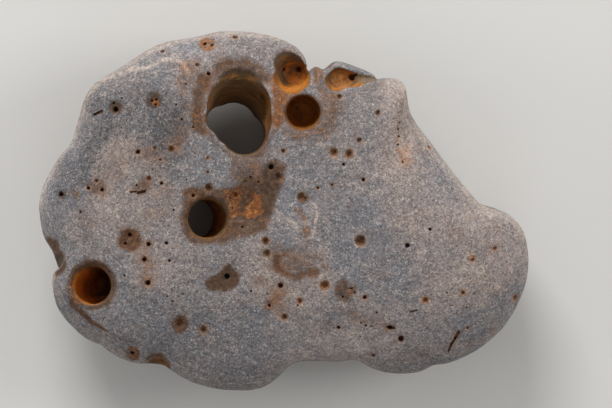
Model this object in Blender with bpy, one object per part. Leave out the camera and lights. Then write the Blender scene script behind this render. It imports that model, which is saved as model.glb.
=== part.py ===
"""A sea-worn flint nodule, flat and lobed, bored through by shellfish and pitted by smaller borers.

One natural stone, so one closed solid. It lies on the small flat spot of its underside, which is z = 0.
+X runs along its length towards the broad plain lobe, +Y towards the notched edge with the cups, +Z up.
Sizes in the tables are millimetres. The finished object is in metres.
"""

import math

import bmesh
import bpy
import numpy as np
from mathutils import Matrix, Vector, noise

MM = 0.001

# Driving dimensions
EQUATOR = 15.0  # height of the widest section above the resting surface
CROWN = 18.0  # rise of the upper face above that section
BELLY = 15.5  # fall of the underside below it, before the flat spot is worn off
CROWN_FULLNESS = 0.60  # 1 is an ellipsoid, smaller is flatter with a tighter shoulder
BELLY_FULLNESS = 0.74
CENTRE = Vector((0.0, -2.0))  # plan point that the sections close in on
TURN_STEPS = 360
RISE_STEPS = 34
LOBE_HARMONICS = 7  # waves round the outline that still show near the middle of the faces
CROWN_LOBE_FADE = 5.0  # how fast the smaller waves die away from the edge inwards
BELLY_LOBE_FADE = 8.0
LOBE_SKEW = 0.09  # how far, in radians, the smaller waves lean as they run over the edge
WAIST_SWAY = 1.8  # the widest section isn't level: it rises and falls by this much
WAIST_LENGTH = 34.0
SWELL_HEIGHT = 0.5
SWELL_LENGTH = 21.0
VOXEL = 0.55
WEAR_ROUNDS = 7  # smoothing that rounds the lips of the bores, as the sea did
BODY_TRIANGLES = 7300
PIT_SIDES = 8
SHARP_ANGLE = math.radians(35)

# The edge of the stone seen from above, anticlockwise from the tip of the plain lobe
OUTLINE = (
    # plain lobe and the long slope up from it
    (61.1, -13.1), (60.8, -9.2), (59.8, -5.3), (57.8, -2.4), (55.4, -0.5), (52.5, 0.4), (49.1, 1.5),
    (44.7, 6.4), (40.8, 11.3), (36.9, 16.7), (33.4, 21.3), (31.4, 24.8), (30.8, 27.8), (30.3, 30.6),
    # shoulder, the step beside it and the lip of the open scoop
    (29.1, 32.3), (27.1, 33.1), (24.4, 33.0), (23.0, 32.5), (22.3, 33.8), (20.3, 34.9), (16.9, 36.2),
    (13.7, 37.2), (11.9, 36.8), (10.7, 35.3), (9.3, 35.3), (7.9, 36.1),
    # the broken notch
    (7.0, 35.4), (6.3, 33.8), (5.2, 36.2), (4.8, 38.6), (3.3, 40.6),
    # high back over the great bore and down the knuckled end
    (0.4, 42.3), (-4.0, 43.7), (-9.4, 44.6), (-15.8, 44.6), (-20.1, 43.7), (-24.0, 42.8), (-29.4, 42.0),
    (-33.8, 40.1), (-37.7, 37.6), (-42.1, 34.7), (-45.5, 32.8), (-48.2, 30.6), (-50.1, 27.1), (-51.4, 22.2),
    (-52.6, 17.6), (-54.3, 14.9), (-56.7, 12.0), (-58.9, 8.1), (-60.4, 4.5), (-61.0, 0.8), (-60.6, -3.4),
    (-59.7, -7.1), (-58.1, -9.6), (-57.1, -11.8), (-56.8, -14.4), (-57.5, -17.5), (-57.2, -21.0),
    # lower edge
    (-55.8, -25.1), (-52.8, -28.8), (-49.4, -31.9), (-46.5, -33.3), (-45.1, -33.5), (-44.0, -34.8),
    (-40.6, -36.8), (-36.7, -38.1), (-32.3, -38.3), (-29.7, -38.8), (-25.5, -41.4), (-21.6, -43.2),
    (-15.8, -44.6), (-10.4, -44.8), (-6.0, -44.3), (-3.1, -43.0), (-1.1, -41.4), (0.9, -39.3), (2.8, -38.0),
    (5.6, -37.4), (13.0, -37.7), (17.3, -37.4), (19.8, -37.8), (22.2, -39.3), (25.2, -40.2), (29.1, -40.7),
    (33.0, -40.4), (35.4, -39.7), (37.6, -38.5), (41.3, -38.0), (45.6, -36.3), (50.5, -33.2), (54.4, -29.7),
    (57.4, -25.3), (59.3, -21.4), (60.5, -17.5),
)
OUTLINE_STEPS = 8  # spline points between two of the outline's own

# Swells and hollows of each face: x, y, half-length, half-width, turn in degrees, height
CROWN_RELIEF = (
    (-8.6, 0.8, 6.5, 5.0, 20, -1.9),  # rusty hollow beside the small through bore
    (-4.5, 9.5, 9.0, 4.0, 65, -1.0),  # trough that climbs from it past the great bore
    (-47.6, -18.6, 8.5, 8.0, 0, -0.9),
    (-10.6, 34.6, 8.5, 5.0, 0, -2.0),  # worn slope above the great bore
    (-20.6, 25.5, 7.0, 2.6, 90, -1.1),  # and beside it
    (3.5, 29.5, 7.5, 6.0, 60, -1.6),  # saddle between the cups
    (28.8, 19.5, 13.0, 2.6, 100, 0.9),  # rib that runs down from the shoulder
    (25.2, 18.0, 10.0, 3.0, 100, -0.6),
    (-15.3, -17.4, 4.6, 3.2, 25, -0.6),
    (-37.9, -7.2, 3.2, 3.0, 0, -0.6),
    (-38.0, 8.0, 16.0, 9.0, 70, 0.5),
    (-34.0, 37.5, 16.0, 2.5, 32, 0.8),  # bedding step along the high back
    (38.0, -12.0, 20.0, 12.0, -30, 0.6),
    (4.0, -8.5, 9.0, 4.5, -35, -0.5),
    (17.0, -30.0, 14.0, 5.0, 10, -0.6),
    (-54.0, 20.0, 26.0, 22.0, 0, -2.2),  # the knuckled end is thinner
    (14.0, 38.0, 28.0, 9.0, -10, -1.6),  # and so is the edge with the cups
)
BELLY_RELIEF = (
    (30.0, -22.0, 14.0, 8.0, 15, -1.4),
    (-40.0, 10.0, 12.0, 9.0, 60, -1.2),
    (16.0, 22.0, 9.0, 12.0, 30, -1.6),
    (-30.0, -26.0, 13.0, 6.0, -20, 0.9),
    (38.0, 3.0, 10.0, 7.0, -35, 0.8),
    (-52.0, 4.0, 20.0, 30.0, 0, -2.6),
    (50.0, -14.0, 14.0, 18.0, 0, -1.8),
)

# Shellfish bores. Each is a chain of round sections: x, y, height, radius
BORES = {
    "great_bore": (
        (-9.5, 22.4, 41.0, 8.6), (-9.7, 22.2, 32.8, 7.1), (-10.0, 22.1, 29.0, 6.7),
        (-11.4, 21.7, 18.0, 5.9), (-12.7, 21.4, 6.0, 5.75), (-13.0, 21.0, -5.0, 7.9),
    ),
    "great_bore_ramp": (
        (-10.8, 26.8, 38.0, 8.8), (-10.9, 25.5, 30.0, 7.9), (-11.2, 23.9, 21.3, 6.85),
        (-11.9, 21.9, 9.4, 5.05),
    ),
    "great_bore_bowl": (
        (-10.2, 31.6, 40.0, 11.0), (-10.4, 30.4, 32.4, 7.4), (-10.6, 29.2, 29.4, 5.4),
        (-10.8, 27.6, 27.4, 3.6),
    ),
    "great_bore_foot": (
        (-9.2, 19.2, 40.1, 7.5), (-9.5, 19.2, 32.5, 5.9), (-9.6, 19.2, 28.4, 5.5),
        (-9.8, 19.1, 17.2, 5.3), (-10.1, 19.0, 5.1, 5.3), (-10.4, 18.8, -5.9, 7.7),
    ),
    "great_bore_side": (
        (-12.0, 20.9, 40.6, 6.4), (-12.4, 20.6, 32.3, 4.8), (-12.4, 20.6, 28.0, 4.6),
        (-12.7, 20.4, 16.8, 4.7), (-13.0, 20.3, 4.7, 4.9), (-13.2, 20.2, -6.3, 6.8),
    ),
    "great_bore_end": (
        (-14.6, 23.0, 39.3, 5.5), (-15.0, 22.7, 32.1, 4.1), (-15.1, 22.6, 27.7, 3.9),
        (-15.4, 22.5, 16.3, 3.8), (-15.8, 22.5, 4.3, 3.95), (-16.0, 22.2, -6.7, 6.0),
    ),
    "small_through_bore": (
        (-18.2, -2.0, 38.5, 8.8), (-18.4, -2.0, 33.2, 5.9), (-18.5, -2.0, 31.2, 4.9),
        (-19.0, -2.0, 27.0, 4.75), (-21.2, -2.0, 14.0, 4.9), (-23.1, -2.0, 4.0, 5.3),
        (-23.8, -2.0, -5.0, 8.0),
    ),
    "deep_bore": (
        (-48.0, -18.2, 34.5, 9.3), (-47.5, -18.3, 30.0, 6.1), (-47.3, -18.4, 27.4, 4.9),
        (-46.7, -18.6, 22.0, 4.65), (-45.0, -19.4, 13.0, 4.5), (-44.2, -19.8, 8.4, 3.2),
    ),
    "blind_bore": (
        (4.8, 24.2, 37.0, 5.2), (4.8, 24.2, 30.5, 4.45), (4.8, 24.3, 27.5, 4.2), (4.9, 24.5, 23.5, 4.0),
        (5.0, 24.8, 20.0, 3.4), (5.1, 24.9, 17.8, 2.2),
    ),
    "open_cup": (
        (2.2, 32.6, 35.0, 5.4), (2.3, 33.1, 28.0, 4.4), (2.4, 33.5, 24.5, 3.9), (2.5, 33.9, 21.2, 3.2),
        (2.6, 34.1, 19.4, 2.2),
    ),
    "open_cup_slope": (
        (0.8, 38.6, 33.0, 5.0), (1.3, 36.8, 28.0, 3.9), (1.9, 35.2, 24.0, 3.3), (2.3, 34.4, 21.4, 2.8),
    ),
    "notch_groove": (
        (6.6, 37.2, 18.0, 1.3), (6.5, 34.8, 23.2, 0.95), (6.5, 32.8, 26.0, 0.85), (6.4, 31.0, 27.5, 0.75),
        (6.2, 29.3, 28.7, 0.5),
    ),
    "open_scoop": (
        (13.0, 33.1, 34.0, 4.8), (13.2, 32.8, 28.2, 3.4), (13.5, 32.8, 25.0, 3.0), (13.9, 32.8, 22.8, 2.1),
    ),
    "scoop_tail": (
        (14.0, 32.4, 25.4, 3.0), (17.2, 32.3, 26.3, 2.7), (20.0, 32.8, 25.7, 1.7), (22.0, 32.9, 24.4, 1.15),
        (24.0, 33.1, 22.4, 0.8),
    ),
    "edge_bore": (
        (-55.2, -9.2, 34.0, 2.3), (-56.2, -12.2, 25.0, 1.9), (-57.4, -14.8, 16.0, 1.8),
        (-58.8, -17.2, 6.0, 2.2),
    ),
    "edge_cup": (
        (-30.9, -42.0, 32.0, 3.9), (-30.9, -39.4, 24.5, 3.2), (-31.0, -38.2, 19.5, 2.4),
        (-31.1, -37.8, 16.8, 1.0),
    ),
    "underside_cup": (
        (24.0, -18.0, -6.0, 6.4), (24.0, -17.6, 1.0, 4.6), (23.6, -17.0, 6.0, 4.0), (23.4, -16.6, 9.0, 2.4),
    ),
    "underside_bore": (
        (-36.5, 15.0, -5.0, 5.2), (-36.0, 14.6, 2.5, 3.6), (-34.8, 13.6, 9.0, 3.2), (-34.2, 13.0, 12.5, 2.0),
    ),
}
BORE_SIDES = 32

# The crack that separates a slip of the lower edge: x, y, radius, along the upper face
EDGE_CRACK = (
    (-48.6, -22.4, 0.9), (-47.3, -24.4, 1.3), (-45.6, -26.9, 1.3), (-43.6, -29.2, 1.2), (-41.2, -30.7, 0.9),
    (-38.4, -32.0, 0.6), (-35.6, -33.1, 0.4),
)

# Small borings of the upper face: x, y, radius, depth
CROWN_PITS = (
    (-41.4, 25.7, 0.9, 2.0), (-31.9, 27.2, 1.6, 1.6), (-45.9, 23.9, 0.7, 0.9), (-35.6, 14.2, 0.7, 1.6),
    (-54.9, 3.9, 0.8, 1.8), (-47.9, 5.4, 0.6, 1.2), (-44.6, 5.1, 0.7, 1.4), (-34.6, 4.4, 1.1, 1.2),
    (-28.6, -8.6, 0.6, 1.5), (-27.9, -12.9, 0.6, 1.4), (-39.2, -6.6, 0.7, 1.4), (-33.1, -8.3, 0.8, 1.5),
    (-33.9, -11.3, 0.9, 1.6), (-33.1, -17.9, 1.0, 1.6), (-25.3, -28.0, 1.6, 1.7), (-19.4, -29.3, 1.1, 1.4),
    (-13.8, -16.6, 0.7, 1.4), (-37.4, -35.5, 0.9, 2.0), (-36.5, -36.9, 0.5, 0.9), (-19.2, 40.9, 1.4, 1.8),
    (-3.0, 10.5, 0.8, 2.0), (-1.1, 8.0, 0.9, 1.4), (12.4, 14.0, 1.0, 1.6), (16.1, 13.8, 1.0, 1.7),
    (14.9, 11.0, 0.6, 1.6), (19.8, 7.4, 0.7, 1.5), (12.1, 6.2, 0.7, 1.0), (8.5, 5.4, 0.7, 1.0),
    (4.9, 2.9, 1.4, 1.4), (18.9, -7.5, 1.4, 2.0), (30.7, -8.7, 0.6, 1.6), (36.2, -4.7, 0.6, 1.6),
    (34.9, -22.1, 0.8, 1.2), (20.0, -21.3, 0.7, 1.4), (13.7, -28.8, 0.7, 1.4), (26.1, -29.0, 1.3, 1.2),
    (29.3, -31.7, 1.3, 1.9), (13.8, 27.9, 0.6, 1.2), (-13.1, 1.3, 1.8, 1.4), (-8.1, 1.1, 2.0, 1.6),
    (10.4, -18.4, 0.9, 1.0), (-2.3, -20.3, 0.8, 1.2), (46.6, -12.0, 0.7, 0.9), (16.9, 32.8, 0.9, 3.4),
)
SLOT = ((43.2, -30.3), (42.3, -31.6), (41.5, -33.1), (40.8, -34.6))  # worm slot in the plain lobe
SLOT_RADIUS = 0.55

# Small borings of the underside: x, y, radius, depth
BELLY_PITS = (
    (8.0, -30.0, 1.3, 1.8), (13.5, -27.0, 0.9, 1.4), (-20.0, -24.0, 1.5, 1.8), (-44.0, -8.0, 1.1, 1.6),
    (-47.5, -2.0, 0.8, 1.4), (43.0, -14.0, 1.4, 1.8), (40.0, -8.0, 0.8, 1.2), (2.0, 31.0, 1.3, 1.8),
    (-22.0, 36.0, 1.1, 1.6), (24.0, 20.0, 1.4, 1.8), (28.5, 15.0, 0.8, 1.2),
)

STONE_COLOUR = (0.215, 0.19, 0.185, 1.0)
STONE_ROUGHNESS = 0.78


def clear_scene():
    for obj in list(bpy.data.objects):
        bpy.data.objects.remove(obj)


def add_object(name, mesh):
    obj = bpy.data.objects.new(name, mesh)
    bpy.context.scene.collection.objects.link(obj)
    return obj


def evaluated_mesh(obj):
    """The object's mesh with its modifiers applied."""
    bpy.context.view_layer.update()
    graph = bpy.context.evaluated_depsgraph_get()
    return bpy.data.meshes.new_from_object(obj.evaluated_get(graph))


def outline_radii():
    """Distance from CENTRE to the edge at each turn step, as drawn and with only its broad waves."""
    points = np.array(OUTLINE)
    before, after, beyond = (np.roll(points, shift, axis=0) for shift in (1, -1, -2))
    steps = np.arange(OUTLINE_STEPS) / OUTLINE_STEPS
    t = steps[:, None, None]
    curve = 0.5 * (
        2 * points
        + (after - before) * t
        + (2 * before - 5 * points + 4 * after - beyond) * t**2
        + (3 * points - before - 3 * after + beyond) * t**3
    )
    curve = curve.transpose(1, 0, 2).reshape(-1, 2) - np.array(CENTRE)
    turns = np.unwrap(np.arctan2(curve[:, 1], curve[:, 0]))
    order = np.argsort(turns)
    wanted = np.arange(TURN_STEPS) * math.tau / TURN_STEPS
    radii = np.interp(wanted, turns[order], np.hypot(*curve[order].T), period=math.tau)
    waves = np.fft.rfft(radii)
    waves[LOBE_HARMONICS + 1 :] = 0
    return radii, np.fft.irfft(waves, TURN_STEPS)


EDGE_RADII, BROAD_RADII = outline_radii()


def section_radius(turn, scale, side):
    """Distance from CENTRE to the section that is scale times the size of the widest one."""
    fullness, fade = (CROWN_FULLNESS, CROWN_LOBE_FADE) if side > 0 else (BELLY_FULLNESS, BELLY_LOBE_FADE)
    lean = side * LOBE_SKEW * math.sqrt(1 - min(scale, 1.0) ** (2 / fullness))
    broad, leaning_broad, leaning_edge = (
        np.interp((angle / math.tau % 1.0) * TURN_STEPS, np.arange(TURN_STEPS), radii, period=TURN_STEPS)
        for angle, radii in ((turn, BROAD_RADII), (turn + lean, BROAD_RADII), (turn + lean, EDGE_RADII))
    )
    return scale * (broad + (leaning_edge - leaning_broad) * scale**fade)


def relief(table, x, y):
    total = 0.0
    for centre_x, centre_y, length, width, turn, height in table:
        c, s = math.cos(math.radians(turn)), math.sin(math.radians(turn))
        along = ((x - centre_x) * c + (y - centre_y) * s) / length
        across = ((y - centre_y) * c - (x - centre_x) * s) / width
        total += height * math.exp(-(along**2) - across**2)
    return total


def face_height(x, y, scale, side):
    """Height of the upper face (side 1) or the underside (side -1) at a point of that section."""
    rise, fullness = (CROWN, CROWN_FULLNESS) if side > 0 else (BELLY, BELLY_FULLNESS)
    share = (1 - min(scale, 1.0) ** (2 / fullness)) ** (fullness / 2)
    swell = SWELL_HEIGHT * noise.noise(Vector((x, y, side * SWELL_LENGTH)) / SWELL_LENGTH)
    sway = WAIST_SWAY * noise.noise(Vector((x, y, 0)) / WAIST_LENGTH) * scale**4
    table = CROWN_RELIEF if side > 0 else BELLY_RELIEF
    return EQUATOR + sway + side * share * (rise + swell + relief(table, x, y))


def surface_height(x, y, side):
    """Height of the face above or below a plan point."""
    dx, dy = x - CENTRE.x, y - CENTRE.y
    distance, turn = math.hypot(dx, dy), math.atan2(dy, dx)
    low, high = 0.0, 1.0
    for _ in range(24):
        middle = (low + high) / 2
        if section_radius(turn, middle, side) < distance:
            low = middle
        else:
            high = middle
    return face_height(x, y, low, side)


def surface_normal(x, y, side, reach=0.6):
    slope_x = surface_height(x + reach, y, side) - surface_height(x - reach, y, side)
    slope_y = surface_height(x, y + reach, side) - surface_height(x, y - reach, side)
    return Vector((-slope_x, -slope_y, 2 * reach)).normalized() * side


def pebble():
    """The whole pebble before anything bored it: sections of the outline that close in above and below."""
    bm = bmesh.new()
    turns = [step * math.tau / TURN_STEPS for step in range(TURN_STEPS)]
    rings = []
    for level in range(-RISE_STEPS + 1, RISE_STEPS):
        side = 1 if level >= 0 else -1
        fullness = CROWN_FULLNESS if side > 0 else BELLY_FULLNESS
        scale = math.cos(abs(level) / RISE_STEPS * math.pi / 2) ** fullness
        ring = []
        for turn in turns:
            distance = section_radius(turn, scale, side)
            x = CENTRE.x + distance * math.cos(turn)
            y = CENTRE.y + distance * math.sin(turn)
            ring.append(bm.verts.new(Vector((x, y, face_height(x, y, scale, side))) * MM))
        rings.append(ring)
    for lower, upper in zip(rings, rings[1:]):
        for step in range(TURN_STEPS):
            after = (step + 1) % TURN_STEPS
            bm.faces.new((lower[step], lower[after], upper[after], upper[step]))
    for ring, side in ((rings[0], -1), (rings[-1], 1)):
        pole = bm.verts.new(Vector((*CENTRE, face_height(*CENTRE, 0.0, side))) * MM)
        for step in range(TURN_STEPS):
            pair = (ring[step], ring[(step + 1) % TURN_STEPS])
            bm.faces.new((*pair, pole) if side > 0 else (*reversed(pair), pole))
    mesh = bpy.data.meshes.new("pebble")
    bm.to_mesh(mesh)
    bm.free()
    return add_object("nodule", mesh)


def tube_cutter(name, stations):
    """A round tool swept through stations of x, y, height and radius, with rounded ends left to its radii."""
    curve = bpy.data.curves.new(name, "CURVE")
    curve.dimensions = "3D"
    curve.bevel_depth = MM
    curve.bevel_resolution = BORE_SIDES // 4 - 2
    curve.use_fill_caps = True
    curve.resolution_u = 6
    spline = curve.splines.new("BEZIER")
    spline.bezier_points.add(len(stations) - 1)
    for point, (x, y, z, radius) in zip(spline.bezier_points, stations):
        point.co = Vector((x, y, z)) * MM
        point.radius = radius
        point.handle_left_type = point.handle_right_type = "AUTO"
    swept = bpy.data.objects.new(name, curve)
    bpy.context.scene.collection.objects.link(swept)
    mesh = evaluated_mesh(swept)
    bpy.data.objects.remove(swept)
    return cutter(name, mesh)


def cutter(name, mesh):
    """Welds a tool's mesh, turns its faces outwards and hides it from the render."""
    bm = bmesh.new()
    bm.from_mesh(mesh)
    bmesh.ops.remove_doubles(bm, verts=bm.verts, dist=1e-6)
    bmesh.ops.recalc_face_normals(bm, faces=bm.faces)
    bm.to_mesh(mesh)
    bm.free()
    tool = add_object(name + "_cutter", mesh)
    tool.hide_render = True
    tool.display_type = "WIRE"
    return tool


def crack_cutter():
    stations = [(x, y, surface_height(x, y, 1) + radius * 0.2, radius) for x, y, radius in EDGE_CRACK]
    return tube_cutter("edge_crack", stations)


def slot_cutter():
    stations = [(x, y, surface_height(x, y, 1), SLOT_RADIUS) for x, y in SLOT]
    return tube_cutter("slot", stations)


def pit_cutter():
    """All the small borings as tapered pegs in one tool, each standing square to the surface."""
    bm = bmesh.new()
    pits = [(*pit, 1) for pit in CROWN_PITS] + [(*pit, -1) for pit in BELLY_PITS]
    for number, (x, y, radius, depth, side) in enumerate(pits):
        outwards = surface_normal(x, y, side)
        mouth = Vector((x, y, surface_height(x, y, side)))
        height = 2 * depth
        turn = outwards.to_track_quat("Z", "Y").to_matrix().to_4x4() @ Matrix.Rotation(number, 4, "Z")
        bmesh.ops.create_cone(
            bm, cap_ends=True, segments=PIT_SIDES, depth=height * MM,
            radius1=radius * 0.45 * MM, radius2=radius * 1.55 * MM,
            matrix=Matrix.Translation(mouth * MM) @ turn,
        )
    mesh = bpy.data.meshes.new("pits")
    bm.to_mesh(mesh)
    bm.free()
    return cutter("pits", mesh)


def floor_cutter():
    """What the stone was rubbed flat against: everything below the resting surface."""
    bm = bmesh.new()
    place = Matrix.Translation((0, 0, -0.05)) @ Matrix.Diagonal((0.2, 0.2, 0.1, 1))
    bmesh.ops.create_cube(bm, size=1.0, matrix=place)
    mesh = bpy.data.meshes.new("floor")
    bm.to_mesh(mesh)
    bm.free()
    return cutter("floor", mesh)


def cut(obj, tool):
    boolean = obj.modifiers.new(tool.name, "BOOLEAN")
    boolean.operation = "DIFFERENCE"
    boolean.solver = "EXACT"
    boolean.object = tool


def keep_modifiers(obj):
    """Replaces the object's mesh with what its modifiers make of it."""
    mesh = evaluated_mesh(obj)
    obj.modifiers.clear()
    obj.data = mesh


def wear(obj):
    """Rounds every edge that the bores left, then keeps only the faces that the shape needs."""
    remesh = obj.modifiers.new("grain", "REMESH")
    remesh.mode = "VOXEL"
    remesh.voxel_size = VOXEL * MM
    smooth = obj.modifiers.new("wear", "SMOOTH")
    smooth.factor = 0.5
    smooth.iterations = WEAR_ROUNDS
    keep_modifiers(obj)
    obj.data.calc_loop_triangles()
    decimate = obj.modifiers.new("plain faces", "DECIMATE")
    decimate.ratio = BODY_TRIANGLES / len(obj.data.loop_triangles)
    keep_modifiers(obj)


def stone_material():
    material = bpy.data.materials.new("stone")
    material.use_nodes = True
    shader = material.node_tree.nodes["Principled BSDF"]
    shader.inputs["Base Color"].default_value = STONE_COLOUR
    shader.inputs["Roughness"].default_value = STONE_ROUGHNESS
    shader.inputs["Metallic"].default_value = 0.0
    return material


def main():
    clear_scene()
    nodule = pebble()
    for name, stations in BORES.items():
        cut(nodule, tube_cutter(name, stations))
    cut(nodule, crack_cutter())
    keep_modifiers(nodule)
    wear(nodule)
    cut(nodule, pit_cutter())
    cut(nodule, slot_cutter())
    cut(nodule, floor_cutter())
    nodule.data.materials.append(stone_material())
    nodule.data.shade_smooth()
    nodule.data.set_sharp_from_angle(angle=SHARP_ANGLE)


main()
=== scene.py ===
"""The looks of a sea-worn flint nodule: its bored, pitted and rust-stained surface, on a pale floor.

+X runs along the stone towards its broad plain lobe, +Y towards the notched edge with the cups, +Z up.
Tables of places and sizes are in millimetres. Everything in the scene is in metres.
"""

import math
from collections import namedtuple

import bmesh
import bpy
import numpy as np
from mathutils import Matrix, Vector, kdtree, noise
from mathutils.bvhtree import BVHTree


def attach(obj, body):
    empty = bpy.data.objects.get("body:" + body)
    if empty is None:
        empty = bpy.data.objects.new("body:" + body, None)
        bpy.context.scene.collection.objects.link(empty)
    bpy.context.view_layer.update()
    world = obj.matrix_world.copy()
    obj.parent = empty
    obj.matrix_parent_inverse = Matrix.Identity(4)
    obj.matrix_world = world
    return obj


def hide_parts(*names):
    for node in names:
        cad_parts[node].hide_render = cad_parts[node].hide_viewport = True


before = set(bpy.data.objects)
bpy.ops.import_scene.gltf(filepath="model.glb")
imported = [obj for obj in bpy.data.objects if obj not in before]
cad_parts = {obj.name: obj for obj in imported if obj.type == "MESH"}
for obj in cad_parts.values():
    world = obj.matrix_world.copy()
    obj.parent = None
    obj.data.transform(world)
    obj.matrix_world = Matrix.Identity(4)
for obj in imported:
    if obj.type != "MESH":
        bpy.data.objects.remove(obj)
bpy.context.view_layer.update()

MM = 0.001

# The pebble's form, as in the solid that it stands for
EQUATOR = 15.0
CENTRE = Vector((0.0, -2.0))
TURN_STEPS = 360
RISE_STEPS = 34
LOBE_HARMONICS = 7
LOBE_SKEW = 0.09
WAIST_SWAY = 1.8
WAIST_LENGTH = 34.0
SWELL_HEIGHT = 0.5
SWELL_LENGTH = 21.0

# How fine the surface is
SCALE_HALVINGS = 20
VOXEL = 0.42
WEAR_ROUNDS = 4
BODY_TRIANGLES = 133000
UPPER_FACE_KEPT = 3e-4
LEAST_SHARE = 0.02
WAIST_BAND = 4.0
WELD = 0.001
REFINE_ROUNDS = 3
SHORTEST_EDGE = 0.2
BROAD_LINE = 0.6
FAR = 200.0

# What is carved and marked: depths are for a radius of 1
PIT_DEPTH = 1.7
DIMPLE_DEPTH = 0.85
PIT_LEAN = 0.8
WALL_REACH = 0.5
DEEPEST = 20.0
BAND_FOOT = 2.0
PLAIN_WARMTH = 0.3

# Unevenness of the whole surface: height, size of the lumps, seed
LUMPS = ((0.11, 6.0, 1.0), (0.045, 1.8, 2.0), (0.02, 0.8, 5.0))
SEEDS = {
    "wobble": (3.0, 4.0),
    "hidden warmth": 6.0,
    "crust": 7.0,
    "hidden stain": 8.0,
    "layers": 9.0,
    "rough walls": 10.0,
    "broken lines": 11.0,
    "wall bands": (12.0, 13.0),
    "patchy stain": 14.0,
}

# Sizes in the finish, in millimetres, and a way from one set of grains to another
FINE = 1.0
GRIT = 0.3
GRIT_SHIFT = (31.0, -31.0, 15.5)
PORE_SPACING = 2.1

# The edge of the stone seen from above, anticlockwise from the tip of the plain lobe
OUTLINE = (
    # plain lobe and the long slope up from it
    (61.1, -13.1), (60.8, -9.2), (59.8, -5.3), (57.8, -2.4), (55.4, -0.5), (52.5, 0.4), (49.1, 1.5),
    (44.7, 6.4), (40.8, 11.3), (36.9, 16.7), (33.4, 21.3), (31.4, 24.8), (30.8, 27.8), (30.3, 30.6),
    # shoulder, the step beside it and the lip of the open scoop
    (29.1, 32.3), (27.1, 33.1), (24.4, 33), (23, 32.5), (22.3, 33.8), (20.3, 34.9), (16.9, 36.2),
    (13.7, 37.2), (11.9, 36.8), (10.7, 35.3), (9.3, 35.3), (7.9, 36.1),
    # the broken notch
    (7, 35.4), (6.3, 33.8), (5.2, 36.2), (4.8, 38.6), (3.3, 40.6),
    # high back over the great bore and down the knuckled end
    (0.4, 42.3), (-4, 43.7), (-9.4, 44.6), (-15.8, 44.6), (-20.1, 43.7), (-24, 42.8), (-29.4, 42),
    (-33.8, 40.1), (-37.7, 37.6), (-42.1, 34.7), (-45.5, 32.8), (-48.2, 30.6), (-50.1, 27.1),
    (-51.4, 22.2), (-52.6, 17.6), (-54.3, 14.9), (-56.7, 12), (-58.9, 8.1), (-60.4, 4.5), (-61, 0.8),
    (-60.6, -3.4), (-59.7, -7.1), (-58.1, -9.6), (-57.1, -11.8), (-56.8, -14.4), (-57.5, -17.5),
    (-57.2, -21),
    # lower edge
    (-55.8, -25.1), (-52.8, -28.8), (-49.4, -31.9), (-46.5, -33.3), (-45.1, -33.5), (-44, -34.8),
    (-40.6, -36.8), (-36.7, -38.1), (-32.3, -38.3), (-29.7, -38.8), (-25.5, -41.4), (-21.6, -43.2),
    (-15.8, -44.6), (-10.4, -44.8), (-6, -44.3), (-3.1, -43), (-1.1, -41.4), (0.9, -39.3), (2.8, -38),
    (5.6, -37.4), (13, -37.7), (17.3, -37.4), (19.8, -37.8), (22.2, -39.3), (25.2, -40.2),
    (29.1, -40.7), (33, -40.4), (35.4, -39.7), (37.6, -38.5), (41.3, -38), (45.6, -36.3), (50.5, -33.2),
    (54.4, -29.7), (57.4, -25.3), (59.3, -21.4), (60.5, -17.5),
)
OUTLINE_STEPS = 8

# Swells and hollows of each face: x, y, half-length, half-width, turn in degrees, height
CROWN_RELIEF = (
    (-8.6, 0.8, 6.5, 5, 20, -1.9),
    (-4.5, 9.5, 9, 4, 65, -1),
    (-47.6, -18.6, 8.5, 8, 0, -0.9),
    (-10.6, 34.6, 8.5, 5, 0, -2),
    (-20.6, 25.5, 7, 2.6, 90, -1.1),
    (3.5, 29.5, 7.5, 6, 60, -1.6),
    (28.8, 19.5, 13, 2.6, 100, 0.9),
    (25.2, 18, 10, 3, 100, -0.6),
    (-15.3, -17.4, 4.6, 3.2, 25, -0.6),
    (-37.9, -7.2, 3.2, 3, 0, -0.6),
    (-38, 8, 16, 9, 70, 0.5),
    (-34, 37.5, 16, 2.5, 32, 0.8),
    (38, -12, 20, 12, -30, 0.6),
    (4, -8.5, 9, 4.5, -35, -0.5),
    (17, -30, 14, 5, 10, -0.6),
    (-54, 20, 26, 22, 0, -2.2),
    (14, 38, 28, 9, -10, -1.6),
)
BELLY_RELIEF = (
    (30, -22, 14, 8, 15, -1.4),
    (-40, 10, 12, 9, 60, -1.2),
    (16, 22, 9, 12, 30, -1.6),
    (-30, -26, 13, 6, -20, 0.9),
    (38, 3, 10, 7, -35, 0.8),
    (-52, 4, 20, 30, 0, -2.6),
    (50, -14, 14, 18, 0, -1.8),
)

# The two faces: height above or below the widest section, fullness, how soon the ripple of the edge fades
Face = namedtuple("Face", "rise fullness lobe_fade relief")
CROWN_FACE = Face(18.0, 0.60, 5.0, CROWN_RELIEF)
BELLY_FACE = Face(15.5, 0.74, 8.0, BELLY_RELIEF)

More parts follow.
